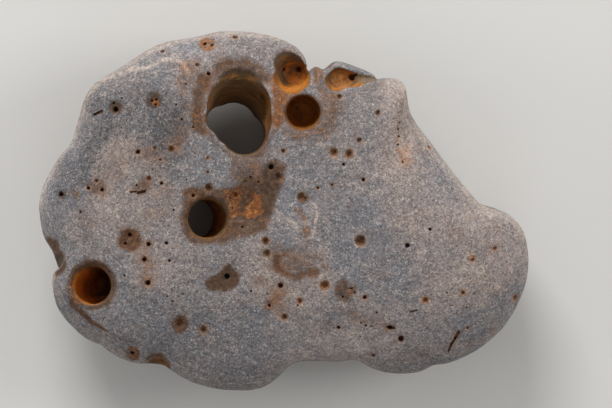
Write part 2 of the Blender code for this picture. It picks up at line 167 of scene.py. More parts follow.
# Shellfish bores: how rusty the wall is, then a chain of round sections: x, y, height, radius
BORES = {
    "great_bore": (0.22, (
        (-9.5, 22.4, 41, 8.6), (-9.7, 22.2, 32.8, 7.1), (-10, 22.1, 29, 6.7), (-11.4, 21.7, 18, 5.9),
        (-12.7, 21.4, 6, 5.75), (-13, 21, -5, 7.9),
    )),
    "great_bore_ramp": (0.2, (
        (-10.8, 26.8, 38, 8.8), (-10.9, 25.5, 30, 7.9), (-11.2, 23.9, 21.3, 6.85),
        (-11.9, 21.9, 9.4, 5.05),
    )),
    "great_bore_bowl": (-0.35, (
        (-10.2, 31.6, 40, 11), (-10.4, 30.4, 32.4, 7.4), (-10.6, 29.2, 29.4, 5.4),
        (-10.8, 27.6, 27.4, 3.6),
    )),
    "great_bore_foot": (0.22, (
        (-9.2, 19.2, 40.1, 7.5), (-9.5, 19.2, 32.5, 5.9), (-9.6, 19.2, 28.4, 5.5),
        (-9.8, 19.1, 17.2, 5.3), (-10.1, 19, 5.1, 5.3), (-10.4, 18.8, -5.9, 7.7),
    )),
    "great_bore_side": (0.22, (
        (-12, 20.9, 40.6, 6.4), (-12.4, 20.6, 32.3, 4.8), (-12.4, 20.6, 28, 4.6),
        (-12.7, 20.4, 16.8, 4.7), (-13, 20.3, 4.7, 4.9), (-13.2, 20.2, -6.3, 6.8),
    )),
    "great_bore_end": (0.22, (
        (-14.6, 23, 39.3, 5.5), (-15, 22.7, 32.1, 4.1), (-15.1, 22.6, 27.7, 3.9),
        (-15.4, 22.5, 16.3, 3.8), (-15.8, 22.5, 4.3, 3.95), (-16, 22.2, -6.7, 6),
    )),
    "small_through_bore": (0.75, (
        (-18.2, -2, 38.5, 8.8), (-18.4, -2, 33.2, 5.9), (-18.5, -2, 31.2, 4.9), (-19, -2, 27, 4.75),
        (-21.2, -2, 14, 4.9), (-23.1, -2, 4, 5.3), (-23.8, -2, -5, 8),
    )),
    "deep_bore": (0.95, (
        (-48, -18.2, 34.5, 9.3), (-47.5, -18.3, 30, 6.1), (-47.3, -18.4, 27.4, 4.9),
        (-46.7, -18.6, 22, 4.65), (-45, -19.4, 13, 4.5), (-44.2, -19.8, 8.4, 3.2),
    )),
    "blind_bore": (0.75, (
        (4.8, 24.2, 37, 5.2), (4.8, 24.2, 30.5, 4.45), (4.8, 24.3, 27.5, 4.2), (4.9, 24.5, 23.5, 4),
        (5, 24.8, 20, 3.4), (5.1, 24.9, 17.8, 2.2),
    )),
    "open_cup": (0.85, (
        (2.2, 32.6, 35, 5.4), (2.3, 33.1, 28, 4.4), (2.4, 33.5, 24.5, 3.9), (2.5, 33.9, 21.2, 3.2),
        (2.6, 34.1, 19.4, 2.2),
    )),
    "open_cup_slope": (0.15, (
        (0.8, 38.6, 33, 5), (1.3, 36.8, 28, 3.9), (1.9, 35.2, 24, 3.3), (2.3, 34.4, 21.4, 2.8),
    )),
    "notch_groove": (0.3, (
        (6.6, 37.2, 18, 1.3), (6.5, 34.8, 23.2, 0.95), (6.5, 32.8, 26, 0.85), (6.4, 31, 27.5, 0.75),
        (6.2, 29.3, 28.7, 0.5),
    )),
    "open_scoop": (0.62, (
        (13, 33.1, 34, 4.8), (13.2, 32.8, 28.2, 3.4), (13.5, 32.8, 25, 3), (13.9, 32.8, 22.8, 2.1),
    )),
    "scoop_tail": (0.7, (
        (14, 32.4, 25.4, 3), (17.2, 32.3, 26.3, 2.7), (20, 32.8, 25.7, 1.7), (22, 32.9, 24.4, 1.15),
        (24, 33.1, 22.4, 0.8),
    )),
    "edge_bore": (0.5, (
        (-55.2, -9.2, 34, 2.3), (-56.2, -12.2, 25, 1.9), (-57.4, -14.8, 16, 1.8),
        (-58.8, -17.2, 6, 2.2),
    )),
    "edge_cup": (0.75, (
        (-30.9, -42, 32, 3.9), (-30.9, -39.4, 24.5, 3.2), (-31, -38.2, 19.5, 2.4),
        (-31.1, -37.8, 16.8, 1),
    )),
    "underside_cup": (0.6, (
        (24, -18, -6, 6.4), (24, -17.6, 1, 4.6), (23.6, -17, 6, 4), (23.4, -16.6, 9, 2.4),
    )),
    "underside_bore": (0.5, (
        (-36.5, 15, -5, 5.2), (-36, 14.6, 2.5, 3.6), (-34.8, 13.6, 9, 3.2), (-34.2, 13, 12.5, 2),
    )),
}
BORE_SIDES = 48
BORE_STEPS = 8

# The ledge where the lower edge has slipped: along it from the deep bore, x, y and how far it drops
EDGE_LEDGE = (
    (-52.6, -22.6, 0.7), (-51, -24.6, 1.2), (-49.2, -26.6, 1.5), (-47.2, -28.2, 1.6),
    (-44.8, -29.2, 1.3), (-42.4, -30.2, 0.9), (-39.6, -31.2, 0.6), (-36.6, -32.4, 0.35),
    (-33.8, -33.6, 0.15),
)
LEDGE_WIDTH = 1.3
LEDGE_FADE = 5.0
LEDGE_REACH = 20.0

# Small deep borings seen from above: x, y, radius, radius of the rusty halo round it
CROWN_PITS = (
    # high back and knuckled end
    (-19.4, 41.3, 0.55, 1.4), (-41.4, 25, 0.72, 1.4), (-41.9, 26.5, 0.35, 0), (-23.9, 31.1, 0.25, 0),
    (-39.8, 27.7, 0.25, 0), (-32.3, 27, 0.35, 0), (-31.2, 27.3, 0.33, 0), (-31.4, 26, 0.35, 0),
    (-24.9, 22.4, 0.33, 0), (-26.3, 26, 0.28, 0), (-27, 19.3, 0.3, 0.8), (-22.1, 20.5, 0.3, 0.6),
    (-35.7, 14.4, 0.55, 1.3), (-37.4, 23.7, 0.22, 0), (-39.8, 20.4, 0.22, 0), (-32, 10.1, 0.22, 0),
    (-54.9, 4, 0.65, 0), (-48, 5.5, 0.45, 1.1), (-44.6, 5.1, 0.5, 1.2), (-36, 6.2, 0.3, 0),
    (-29.8, 6.7, 0.42, 0.9), (-23.7, 7.5, 0.22, 0), (-26.9, 0.1, 0.3, 0), (-49.9, -0.4, 0.3, 0),
    (-37.7, -6, 0.6, 0), (-38.8, -8.1, 0.4, 0), (-33.1, -8.3, 0.6, 1.3), (-28.6, -8, 0.45, 0),
    (-34.1, -12, 0.6, 1.2), (-27.9, -12.3, 0.36, 0.7), (-33.2, -17.7, 0.7, 1.8),
    (-28.5, -21.1, 0.25, 0), (-27.1, -22.3, 0.28, 0), (-24.6, -20.4, 0.25, 0), (-25.6, -21.1, 0.2, 0),
    (-36.8, -19.1, 0.2, 0), (-37.4, -35.4, 0.6, 1.7), (-36.4, -36.5, 0.35, 0), (-42.9, -15, 0.38, 0),
    (-18.1, -27.8, 0.22, 0), (-13.8, -16.2, 0.75, 0),
    # middle
    (-3, 10.7, 0.72, 0), (-10, -4, 0.32, 0), (-22.1, 3.7, 0.45, 1), (-7.9, -19.8, 0.3, 0),
    (-3.9, -20.4, 0.22, 0), (-3.4, -23.3, 0.45, 1.4), (3.6, -23.3, 0.28, 0), (-0.6, -18.4, 0.65, 1.5),
    (14.8, 11.3, 0.4, 0), (8.5, 5.6, 0.34, 0.8), (12, 6.3, 0.3, 0.8), (-9.3, 7.1, 0.28, 0),
    (-6.1, 7, 0.28, 0), (-8, 8.2, 0.3, 0), (-7.4, 9, 0.26, 0), (-13.4, 1.6, 0.24, 0),
    (-12.4, 0.6, 0.22, 0), (-13, 3, 0.24, 0),
    # plain lobe and shoulder
    (19.7, 7.6, 0.45, 1), (30.5, -8.6, 0.62, 0), (36, -4.6, 0.45, 0), (28.5, 21.6, 0.24, 0),
    (28.3, 20, 0.28, 0), (28.5, 18.2, 0.26, 0), (28.2, 16.2, 0.28, 0), (29.4, 11.9, 0.26, 0),
    (14.7, -19.1, 0.28, 0), (16.7, -19, 0.33, 0), (17.6, -20.1, 0.3, 0), (14.6, -21.2, 0.32, 0),
    (20, -21.3, 0.5, 1.1), (13.6, -28.8, 0.45, 0.9), (22.9, -25.1, 0.25, 0), (19.1, -27.6, 0.28, 0),
    (20.3, -28.3, 0.3, 0), (21.8, -28.5, 0.2, 0), (26.3, -28.8, 0.55, 1.5), (29, -31.6, 0.72, 1.3),
    (40.2, -20.2, 0.25, 0), (47, -20.4, 0.22, 0), (40.5, -23, 0.2, 0), (41.5, -23.4, 0.2, 0),
    (45.1, -23.8, 0.22, 0),
    # on the walls of the bores
    (16.8, 32.9, 0.85, 0), (17.7, 33.4, 0.5, 0), (-5.6, 28.2, 1, 1.5), (-4.9, 27.4, 0.6, 1),
    (-4.8, 23.4, 0.8, 1.3), (-18.4, 33.7, 0.5, 1), (0.2, 35, 0.55, 1), (3.8, 35.1, 0.65, 1),
)
BELLY_PITS = (
    (8, -30, 1.3, 2.6), (13.5, -27, 0.9, 1.8), (-20, -24, 1.5, 2.6), (-44, -8, 1.1, 2),
    (-47.5, -2, 0.8, 1.4), (43, -14, 1.4, 2.6), (40, -8, 0.8, 1.6), (2, 31, 1.3, 2.2),
    (-22, 36, 1.1, 2), (24, 20, 1.4, 2.6), (28.5, 15, 0.8, 1.5),
)

# Shallow borings with a brown floor: x, y, radius, radius of the halo
CROWN_DIMPLES = (
    (-17.6, 40.9, 0.5, 1.2), (-12, 42.9, 0.6, 1.2), (-29.9, 39.4, 0.5, 0.8), (-21.2, 35.9, 0.5, 1),
    (-31.5, 15.3, 0.42, 0.9), (-30.1, 12.5, 0.35, 0.7), (-32.9, 7.8, 0.6, 1.2), (-45.9, 7.3, 0.5, 1),
    (-18.5, 12.9, 0.32, 0.8), (-18.5, 9.4, 0.32, 0.8), (-27.5, 15.1, 0.7, 1.2),
    (-25.5, -27.7, 0.95, 2.3), (-19.6, -29.2, 0.75, 1.8), (-38.8, -15.9, 0.4, 0.7),
    (-18.3, 5.4, 0.8, 1.2), (-11.8, 3.8, 0.75, 1), (-1.1, 8.2, 0.85, 1.3), (4.4, 3.4, 0.8, 1.5),
    (5.2, 2.8, 0.6, 1.4), (13.8, 28.1, 0.6, 1), (12.4, 14.4, 0.8, 1.6), (16.2, 13.9, 0.8, 1.6),
    (23.3, 24.1, 0.6, 1.2), (18.7, 17.3, 0.6, 1.3), (19, -7.3, 1.1, 1.8), (0, 14.6, 0.45, 1),
    (36.2, 15.7, 0.5, 1), (34.9, -22, 0.62, 1.2), (44.1, -20.2, 0.5, 1.1), (46.6, -12.1, 0.45, 0.9),
    (52.1, -9.3, 0.45, 0.9), (45.4, -28.9, 0.4, 0.8), (57.5, -21.5, 0.6, 1.1), (22.2, -35.7, 0.5, 0.9),
    (-4.2, -7.5, 0.8, 1.5), (-4, -10.5, 0.8, 1.5), (0.3, -26.1, 0.7, 1.1), (10.2, -18.3, 0.95, 1.5),
    (4.1, -22.2, 0.6, 1.2),
)

# Which face each table of borings is for, and the depth of its borings for a radius of 1
SMALL_BORINGS = (
    (1, PIT_DEPTH, CROWN_PITS),
    (1, DIMPLE_DEPTH, CROWN_DIMPLES),
    (-1, PIT_DEPTH, BELLY_PITS),
)

# A worm slot in the plain lobe, and slits: x0, y0, x1, y1, radius
SLOTS = (
    (43.2, -29.9, 42.4, -31.4, 0.34), (42.4, -31.4, 41.4, -33, 0.3), (41.4, -33, 40.8, -34.6, 0.24),
    (-46.6, 23.7, -44.8, 24.5, 0.3), (-35.6, 4.3, -34, 4.7, 0.35), (-37.4, 4.5, -36.2, 4.6, 0.22),
    (31.2, -24.9, 32.8, -24.5, 0.2), (25.6, -28.7, 27.2, -28.9, 0.34),
)

# Iron stain on the upper face: strength, rust, softness of its edge, then its outline.
# Faint stain only tints the stone, and strong stain is a crust.
STAINS = (
    # the worn lips and slopes of the great bore
    (0.78, 0.3, 1.2, (
        (-22.4, 30.6), (-21.4, 33.6), (-17.9, 34.6), (-17.4, 31.4), (-19.4, 27.6), (-19.7, 23.9),
        (-18.4, 19.6), (-19.9, 18.4), (-22.4, 20.1), (-22.6, 25.6),
    )),
    (0.4, 0.3, 2, ((-25.4, 27.6), (-22.4, 28.6), (-22, 20.6), (-25, 19.6))),
    (0.62, 0.12, 1, (
        (-19.4, 20.6), (-18.4, 17.4), (-14.9, 14.2), (-10.9, 12.2), (-6.9, 12.7), (-3, 15.6),
        (-1.5, 19.6), (-2.9, 20.1), (-5.4, 15.6), (-10.9, 13.5), (-15.4, 15.75), (-18.9, 21.1),
    )),
    (0.85, 0.7, 1, (
        (-3.2, 32.6), (-1.7, 35.1), (0.2, 30.4), (0.8, 28.9), (0.1, 25.1), (0.6, 21.6), (-0.9, 20.1),
        (-2.9, 19.9), (-2.7, 27.6),
    )),
    # the high slope above the great bore, facing away from the back light: partly brown stain, partly painted
    # shade
    (0.72, 0.12, 1.4, (
        (-18.4, 31.4), (-17.6, 35), (-16.4, 36.4), (-11.4, 38), (-6.4, 36.8), (-2.8, 33.6),
        (-3.4, 30.4), (-6.9, 32.6), (-11.4, 33.8), (-15.4, 32.2),
    )),
    (0.4, 0.65, 1.4, (
        (-25.4, 37.6), (-20.9, 38.6), (-19.4, 34.6), (-21.9, 31.6), (-24.4, 27.6), (-26.4, 29.6),
    )),
    (0.45, 0.7, 1.6, (
        (-26.4, 24.6), (-21.9, 22.6), (-20.9, 19.6), (-23.4, 17.6), (-24.9, 13.1), (-26.9, 12.6),
        (-28.9, 15.1), (-27.4, 18.6), (-26.9, 21.6),
    )),
    # round the cups and the scoop, and the rib between them
    (0.55, 0.35, 1.6, (
        (9.1, 29.6), (11.1, 30.6), (14.1, 29.1), (15.6, 26.6), (14.6, 23.1), (12.6, 20.1), (9.6, 17.6),
        (4.1, 16.1), (0.6, 17.6), (-0.4, 20.1), (2.1, 20.6), (5.1, 19.9), (7.6, 20.9), (9.1, 23.1),
    )),
    (0.62, 0.35, 0.9, (
        (6.6, 36.4), (8.6, 36.3), (9.8, 34.6), (10.6, 31.6), (11.6, 29.6), (9.6, 28), (7.8, 29.6),
        (7, 33),
    )),
    (0.4, 0.5, 0.8, ((-2.6, 38.8), (0.4, 40.2), (3.8, 39.6), (4.6, 37.4), (2.6, 37.8), (0, 38))),
    (0.35, 0.5, 1.2, (
        (11, 29.8), (15.6, 29.2), (20.2, 30.2), (24.6, 32.4), (25.4, 31.2), (19.6, 28.6), (13.6, 27.8),
    )),
    # the band down to the small bore, the brown field round it and its two crusts
    (0.55, 0.5, 1.3, (
        (-13.9, 13.6), (-10.4, 12.6), (-7.9, 13), (-4.4, 13), (-5, 9), (-8.9, 6.4), (-12.2, 6.2),
        (-12.9, 10.6),
    )),
    (0.74, 0.14, 0.9, (
        (1.4, 11.4), (-0.2, 6.4), (-1.7, 2.1), (-2.8, -2.1), (-4.6, -5), (-10.4, -6.8), (-15.1, -7.9),
        (-21.4, -8.7), (-24.4, -6.6), (-25.6, -1.4), (-24.6, 4.9), (-22.2, 6.2), (-17.9, 6.2),
        (-14.4, 4.9), (-12.4, 5.6), (-10.4, 8), (-6, 9.4), (-4.2, 11.8), (-1.6, 12.4),
    )),
    (1, 0.05, 1.2, (
        (-5.6, 9.2), (-3.6, 11.6), (0.2, 10.4), (-0.9, 6), (-2.2, 1.4), (-3.9, -2.6), (-5.6, -2.2),
        (-5.2, 2.6), (-6.6, 6.2),
    )),
    (1, 0.25, 0.8, (
        (-10.6, 5.6), (-6.8, 5.4), (-4.2, 3.4), (-4, -1.6), (-6, -3), (-10.6, -2.4), (-11.4, 2),
    )),
    (1.05, 0.6, 0.7, (
        (-15.4, 5.3), (-10.4, 6.1), (-9.7, 2.6), (-10.2, -1.2), (-13.2, -1.6), (-14.1, 1.6),
    )),
    (1.15, 0.9, 0.4, (
        (-10.4, -0.9), (-10, 0.9), (-9, 2.4), (-7.8, 3.9), (-6.4, 4.1), (-5.2, 2.8), (-4.8, 1),
        (-5.2, -0.6), (-6.4, -1.7), (-8.8, -2),
    )),
    (1.3, 0, 0.2, ((-7.4, 3.4), (-7, 3), (-8.6, 0.8), (-10.2, -0.6), (-10.3, 0.2), (-9, 1.9))),
    # the dark sunk patch
    (0.95, 0.03, 0.4, (
        (-19.3, -17.3), (-17.4, -16.2), (-15, -14.6), (-13.6, -12.9), (-12.2, -13.8), (-10.5, -15.6),
        (-11.2, -18.4), (-14.6, -20.3), (-17.2, -19.6), (-19, -19.3),
    )),
    # the mottled middle
    (0.8, 0.22, 0.9, (
        (-2.6, -10.8), (-0.6, -9.4), (2, -9), (3.4, -9.8), (1, -10.6), (-0.4, -12.2), (0.4, -14.4),
        (2.6, -15), (5.4, -14), (8.4, -14.4), (10.3, -14.6), (9.2, -12.2), (5.6, -11.4), (6.2, -10.8),
        (9.6, -11.6), (10.8, -14.8), (7.6, -16.4), (3.6, -16.6), (0.2, -16.2), (-3.6, -14),
    )),
    (0.46, 0.15, 1.6, (
        (-4.4, -6.4), (0.4, -8.6), (5.4, -10), (8.6, -13.9), (2.6, -17.6), (-3.9, -14.1),
    )),
    (0.42, 0.4, 1.4, ((-8, -16.4), (-5, -15.8), (-3.6, -17.6), (-5, -19.6), (-8.4, -18.4))),
    (0.5, 0.3, 1.6, ((-1.6, -17), (1.4, -17.6), (1, -22), (0.6, -26.6), (-2.2, -24.6), (-5.4, -22.4))),
    (0.72, 0.15, 1.2, (
        (12.8, -18.8), (14.6, -16.6), (16.4, -17.4), (18.2, -20), (16.6, -22.6), (13.3, -21.9),
    )),
    (0.35, 0.3, 2, (
        (13.6, -23.6), (18.4, -24), (24.6, -26.6), (26.6, -29.6), (20.4, -29), (14.4, -26.4),
    )),
    # thin rusty streaks in the centre
    (0.6, 0.8, 0.6, ((2.7, 0.6), (3.9, 0.4), (6.1, -1.6), (5.9, -3), (4.8, -2.6), (3, -0.8))),
    (0.5, 0.6, 0.6, ((5.2, -3.4), (6.6, -4), (7.2, -6.2), (5.6, -7.2), (4.2, -6))),
    # faint brown patches of the knuckled end
    (0.3, 0.4, 2.4, (
        (-27.6, 23.4), (-24, 22.4), (-25.6, 12.4), (-30, 10.4), (-36.4, 11.4), (-32, 15.4),
    )),
    (0.26, 0.3, 2.4, ((-44.4, 12.4), (-38.4, 14.4), (-38.4, 6.4), (-44.4, 2.4), (-49.4, 2.4))),
    (0.28, 0.4, 2, ((-33.4, 3.4), (-27.4, 8.4), (-25.8, 2.4), (-29.4, -4.6), (-34.4, -3.6))),
    # left of the small bore
    (0.62, 0.2, 1.2, (
        (-48.9, 6.2), (-46.8, 7.9), (-44.4, 7.6), (-43.2, 5.4), (-44.6, 3.9), (-48, 4.2),
    )),
    (0.36, 0.25, 2, (
        (-50.9, 1.1), (-47.9, 1.1), (-46.9, -2.9), (-47.4, -7.4), (-49.9, -7.4), (-51.4, -2.9),
    )),
    (0.58, 0.35, 1.1, ((-37.8, 4.6), (-36.2, 6.4), (-34, 8.8), (-32.2, 9), (-32, 6.4), (-34, 3.4))),
    (0.35, 0.5, 1.2, (
        (-37.4, 14.9), (-34.4, 15.8), (-31.4, 16.2), (-30, 13), (-34.4, 12), (-36.4, 12.4),
    )),
    (0.34, 0.4, 1.4, ((-37, -8), (-32, -7.4), (-31, -12), (-30.4, -19.4), (-34.8, -19.6), (-36, -14))),
    (0.5, 0.75, 0.7, ((-52.2, 5.4), (-50, 5), (-49.8, 2.4), (-51.6, 3))),
    # the lips of the deep bore, the ledge below it and the left rim
    (0.85, 0.85, 0.7, (
        (-52.6, -16.4), (-51.4, -14.8), (-51.6, -20.4), (-49.6, -23.2), (-51.6, -23.6), (-53.2, -20.4),
    )),
    (0.62, 0.05, 0.9, (
        (-52, -13.8), (-49.8, -13), (-48.6, -11.3), (-46.8, -12.8), (-43.2, -14.2), (-40.9, -16.4),
        (-40.7, -20.4), (-42.8, -23.6), (-46.8, -24.8), (-44.6, -22), (-42.6, -19.4), (-43.8, -16),
        (-47.4, -13.8),
    )),
    (0.9, 0.1, 0.6, (
        (-53.2, -21.6), (-51.9, -21.9), (-48.4, -25), (-47, -26.9), (-43.9, -29.1), (-42.7, -30.1),
        (-44.8, -30.3), (-48.4, -28.4), (-51.2, -25.7), (-53.2, -23.7),
    )),
    (0.7, 0.45, 0.45, (
        (-43.2, -29.6), (-40.6, -31), (-37.9, -31.8), (-34.7, -32.7), (-38.2, -32.4), (-42.8, -30.6),
    )),
    (1, 0.2, 0.9, ((-59, -7), (-56.2, -7.4), (-54, -11), (-53.9, -15.4), (-56.4, -16.6), (-57.6, -12))),
    (1, 0.25, 0.5, (
        (-34.2, -36.8), (-32.4, -35.2), (-30.1, -35.5), (-28.2, -37.4), (-27.8, -39.4), (-30.6, -39.6),
        (-34, -38.4),
    )),
    # the broken shoulder and the plain lobe
    (0.42, 0.8, 1.4, ((28.3, 17.6), (30.8, 16.6), (32.6, 11), (30.4, 10), (28.6, 11.6))),
    (0.5, 0.5, 0.5, ((28, 22.4), (28.6, 22.4), (28.6, 15.4), (29.8, 11.6), (29, 11.2), (27.8, 14.6))),
    (0.25, 0.4, 1.6, ((39.6, -3), (44.6, -4), (45.4, -10), (40.4, -9))),
    (0.3, 0.5, 1.3, ((41.6, -29.6), (43.8, -29.4), (42.6, -33), (40, -35.4), (39.8, -33))),
)

# Round spots of stain: x, y, radius, strength, rust
SPOTS = (
    (-37.7, -7.2, 3.1, 1, 0.35), (-31.9, 27.3, 2.3, 0.76, 0.15), (-31.4, 26.7, 1.2, 1, 0.7),
    (-41.5, 25.6, 1.9, 0.76, 0.1), (-18.9, 41.2, 2.1, 0.76, 0.75), (-37.3, -35.5, 2, 0.85, 0.4),
    (-25.4, -27.9, 2.4, 0.8, 0), (-34.2, -12, 1.4, 0.6, 0.4), (-54.6, 3.8, 1.3, 0.61, 0.3),
    (-19.6, -29.2, 1.7, 0.51, 0.35), (-33.1, -8.3, 1.3, 0.49, 0.1), (-33.2, -17.6, 1.9, 0.51, 0.7),
    (12.4, 14.4, 1.5, 0.61, 0.35), (16.2, 13.9, 1.5, 0.61, 0.35), (4.7, 3.2, 1.7, 0.73, 0.3),
    (19, -7.3, 1.6, 0.76, 0.4), (-4.2, -7.5, 1.3, 0.61, 0.35), (-4, -10.5, 1.3, 0.67, 0.35),
    (10.2, -18.3, 1.5, 0.67, 0.7), (-18.3, 5.6, 1.3, 0.85, 0.4), (-22.2, 3.9, 1.3, 0.79, 0.5),
    (57.5, -21.5, 1.2, 0.61, 0.9), (52.1, -9.2, 1, 0.55, 0.9), (46.6, -12, 1, 0.61, 0.8),
    (34.9, -22, 1.2, 0.61, 0.8), (44.1, -20.2, 1.3, 0.49, 0.5), (50.6, -9.6, 1.6, 0.24, 0.8),
    (51.6, -29.6, 1, 0.43, 0.8), (-1.1, 8, 1.3, 0.92, 0.9), (-27.5, 15.1, 1.1, 0.73, 0.8),
    (29, -31.5, 1.2, 0.49, 0.3), (26, -28.9, 1.4, 0.55, 0.5), (23.3, 24.1, 1.1, 0.43, 0.5),
    (18.7, 17.3, 1.4, 0.37, 0.5), (4.1, -22.2, 1.1, 0.55, 0.7), (0.3, -26.1, 1.2, 0.55, 0.3),
    (-3.4, -23.4, 1.6, 0.55, 0.1),
)

# Rings of stain and wear round the mouths of bores: x, y, inner radius, outer radius, strength, rust
HALOS = (
    (-18.5, -1.9, 4.6, 6.4, 0.78, 0.3),
    (-47.2, -18.3, 4.4, 6.3, 0.75, 0.1),
    (4.8, 24.1, 4, 5.2, 0.6, 0.45),
)

# Two areas of the knuckled end that stand out in both warmth and lightness
PALE_MIDDLE = ((-45.3, 17.9), (-33.9, 17.9), (-33.3, 11.6), (-40.2, 6), (-49, 6), (-45.9, 12.9))
DARK_BAND = ((-48.4, 19.2), (-42.7, 22.3), (-42.1, 19.8), (-46.5, 14.2), (-49, 7.8), (-51.5, 7.8))

# Where the stone is warm tan or pink, and where blue-grey: warmth, softness of the edge, outline.
# Later ones lie on top.
WARM_ZONES = (
    (0.75, 2.5, PALE_MIDDLE),
    (0.18, 6, ((-46, 36), (-24, 38), (-24, 27), (-36, 22), (-48, 24))),
    (-0.1, 1.6, DARK_BAND),
    (0.55, 5, ((-44, 10), (-33, 12), (-27, 12), (-29, -4), (-44, -8), (-50, 4))),
    (0.6, 4, ((-37, -9), (-29, -9), (-28, -20), (-36, -20))),
    (0.12, 4, ((-25, 18), (-16, 18), (-11, 9), (-14, 6), (-27, 7))),
    (0, 4, ((-56, 16), (-48, 18), (-50, 6), (-56, -6), (-64, -4), (-62, 8))),
    (0.1, 6, ((-46, -22), (-4, -22), (-6, -42), (-30, -38))),
    (0.62, 4, ((-8, -9), (10, -9), (11, -20), (2, -29), (-8, -22))),
    (0.15, 5, ((-4, 10), (15, 10), (16, -8), (2, -9), (-4, -5))),
    (0.45, 5, ((14, 26), (26, 30), (28, 8), (18, 4), (12, 14))),
    (-0.1, 1.8, ((14, 4), (21.6, 2), (24.2, -2), (27.4, -9.8), (32, -21.5), (15, -20), (11, -8))),
    (0.42, 5, ((12, -24), (30, -26), (34, -38), (6, -36))),
    (0.72, 4, ((25, 30), (31, 30), (36, 18), (33, 8), (28, 2), (25, 10))),
    (0.62, 6, ((30, 8), (48, 0), (59, -5), (60, -18), (50, -26), (36, -26), (30, -12))),
    (0, 1.6, ((53.4, -19), (58.6, -18.6), (58.4, -24), (54.6, -24))),
    (0.1, 2, ((41, -26), (44, -23.4), (48, -24), (52, -28), (49, -31.6), (41, -30))),
    (0.25, 3, ((50, -22), (59, -18), (58, -27), (50, -32), (46, -28))),
)

# Where the stone is lighter or darker than elsewhere: share, softness of the edge, outline. Most are patches
# of lighter and darker stone; along some rims they are painted light and painted shade, as marked.
LIGHT_ZONES = (
    (0.12, 2.5, PALE_MIDDLE),
    (-0.14, 1.6, DARK_BAND),
    # painted highlight on the rim of the left end, which faces the left light
    (0.22, 2, ((-57.4, 9), (-60, 8.6), (-62, 0), (-58, -0.6))),
    (0.18, 1.5, ((2.2, 1), (8.4, 1.9), (8.8, -6.8), (4.4, -6.4))),
    (0.12, 2.5, ((-1.5, 5), (3.4, 5), (3.4, -7.4), (-2.4, -6.4))),
    (-0.32, 6, ((-50, 30), (-34, 32), (-26, 24), (-26, 8), (-46, 8), (-50, 20))),
    (-0.2, 3, ((-31, 27), (-24, 27), (-24, 18), (-31, 18))),
    # painted highlight along the high back rim, which faces the back light
    (0.14, 3, ((-46, 31), (-30, 40), (-10, 43.5), (-12, 39), (-30, 36), (-44, 28))),
    (0.3, 1.2, ((28.6, 17), (30.4, 16.6), (31.6, 12), (29.4, 11.6))),
    (0.25, 2, ((-24, 41), (-18, 40.5), (-18.4, 36.4), (-24.4, 36.4))),
    (-0.2, 3, ((-54, 14), (-46, 18), (-46, 8), (-50, 2), (-56, 2), (-56.6, 8))),
    (-0.14, 2, ((28, 27), (33, 25), (33, 18), (29, 20))),
    # painted shade along the lower edge, at the plain lobe and below the middle
    (-0.16, 3, ((30, -34), (44, -33), (52, -28), (52, -36), (30, -42))),
    (-0.16, 3, ((-20, -41), (0, -39), (4, -44), (-20, -46))),
    (0.2, 2, ((28, 18), (31, 18), (33, 10), (29, 10))),
    # painted highlight on the corner of the shoulder by the scoop
    (0.2, 2, ((24, 32), (29, 32), (29.5, 27), (26, 26))),
    (-0.14, 5, ((-40, -18), (-6, -20), (-8, -34), (-36, -30))),
    (0.34, 4, ((0, -30), (20, -31), (20, -36), (0, -36))),
    (-0.15, 4, ((-4, -9), (10, -9), (10, -18), (-4, -18))),
)

# The mouths that the layers of the stone bend round: x, y, radius
MOUTHS = (
    (-11.1, 23.4, 9), (-18.4, -2, 4.9), (-47.4, -18.4, 4.8), (4.8, 24.3, 4.4), (2.3, 34.8, 4.2),
    (14.6, 33, 3.6), (18.6, 32.9, 2.6), (-11, 28, 8),
)

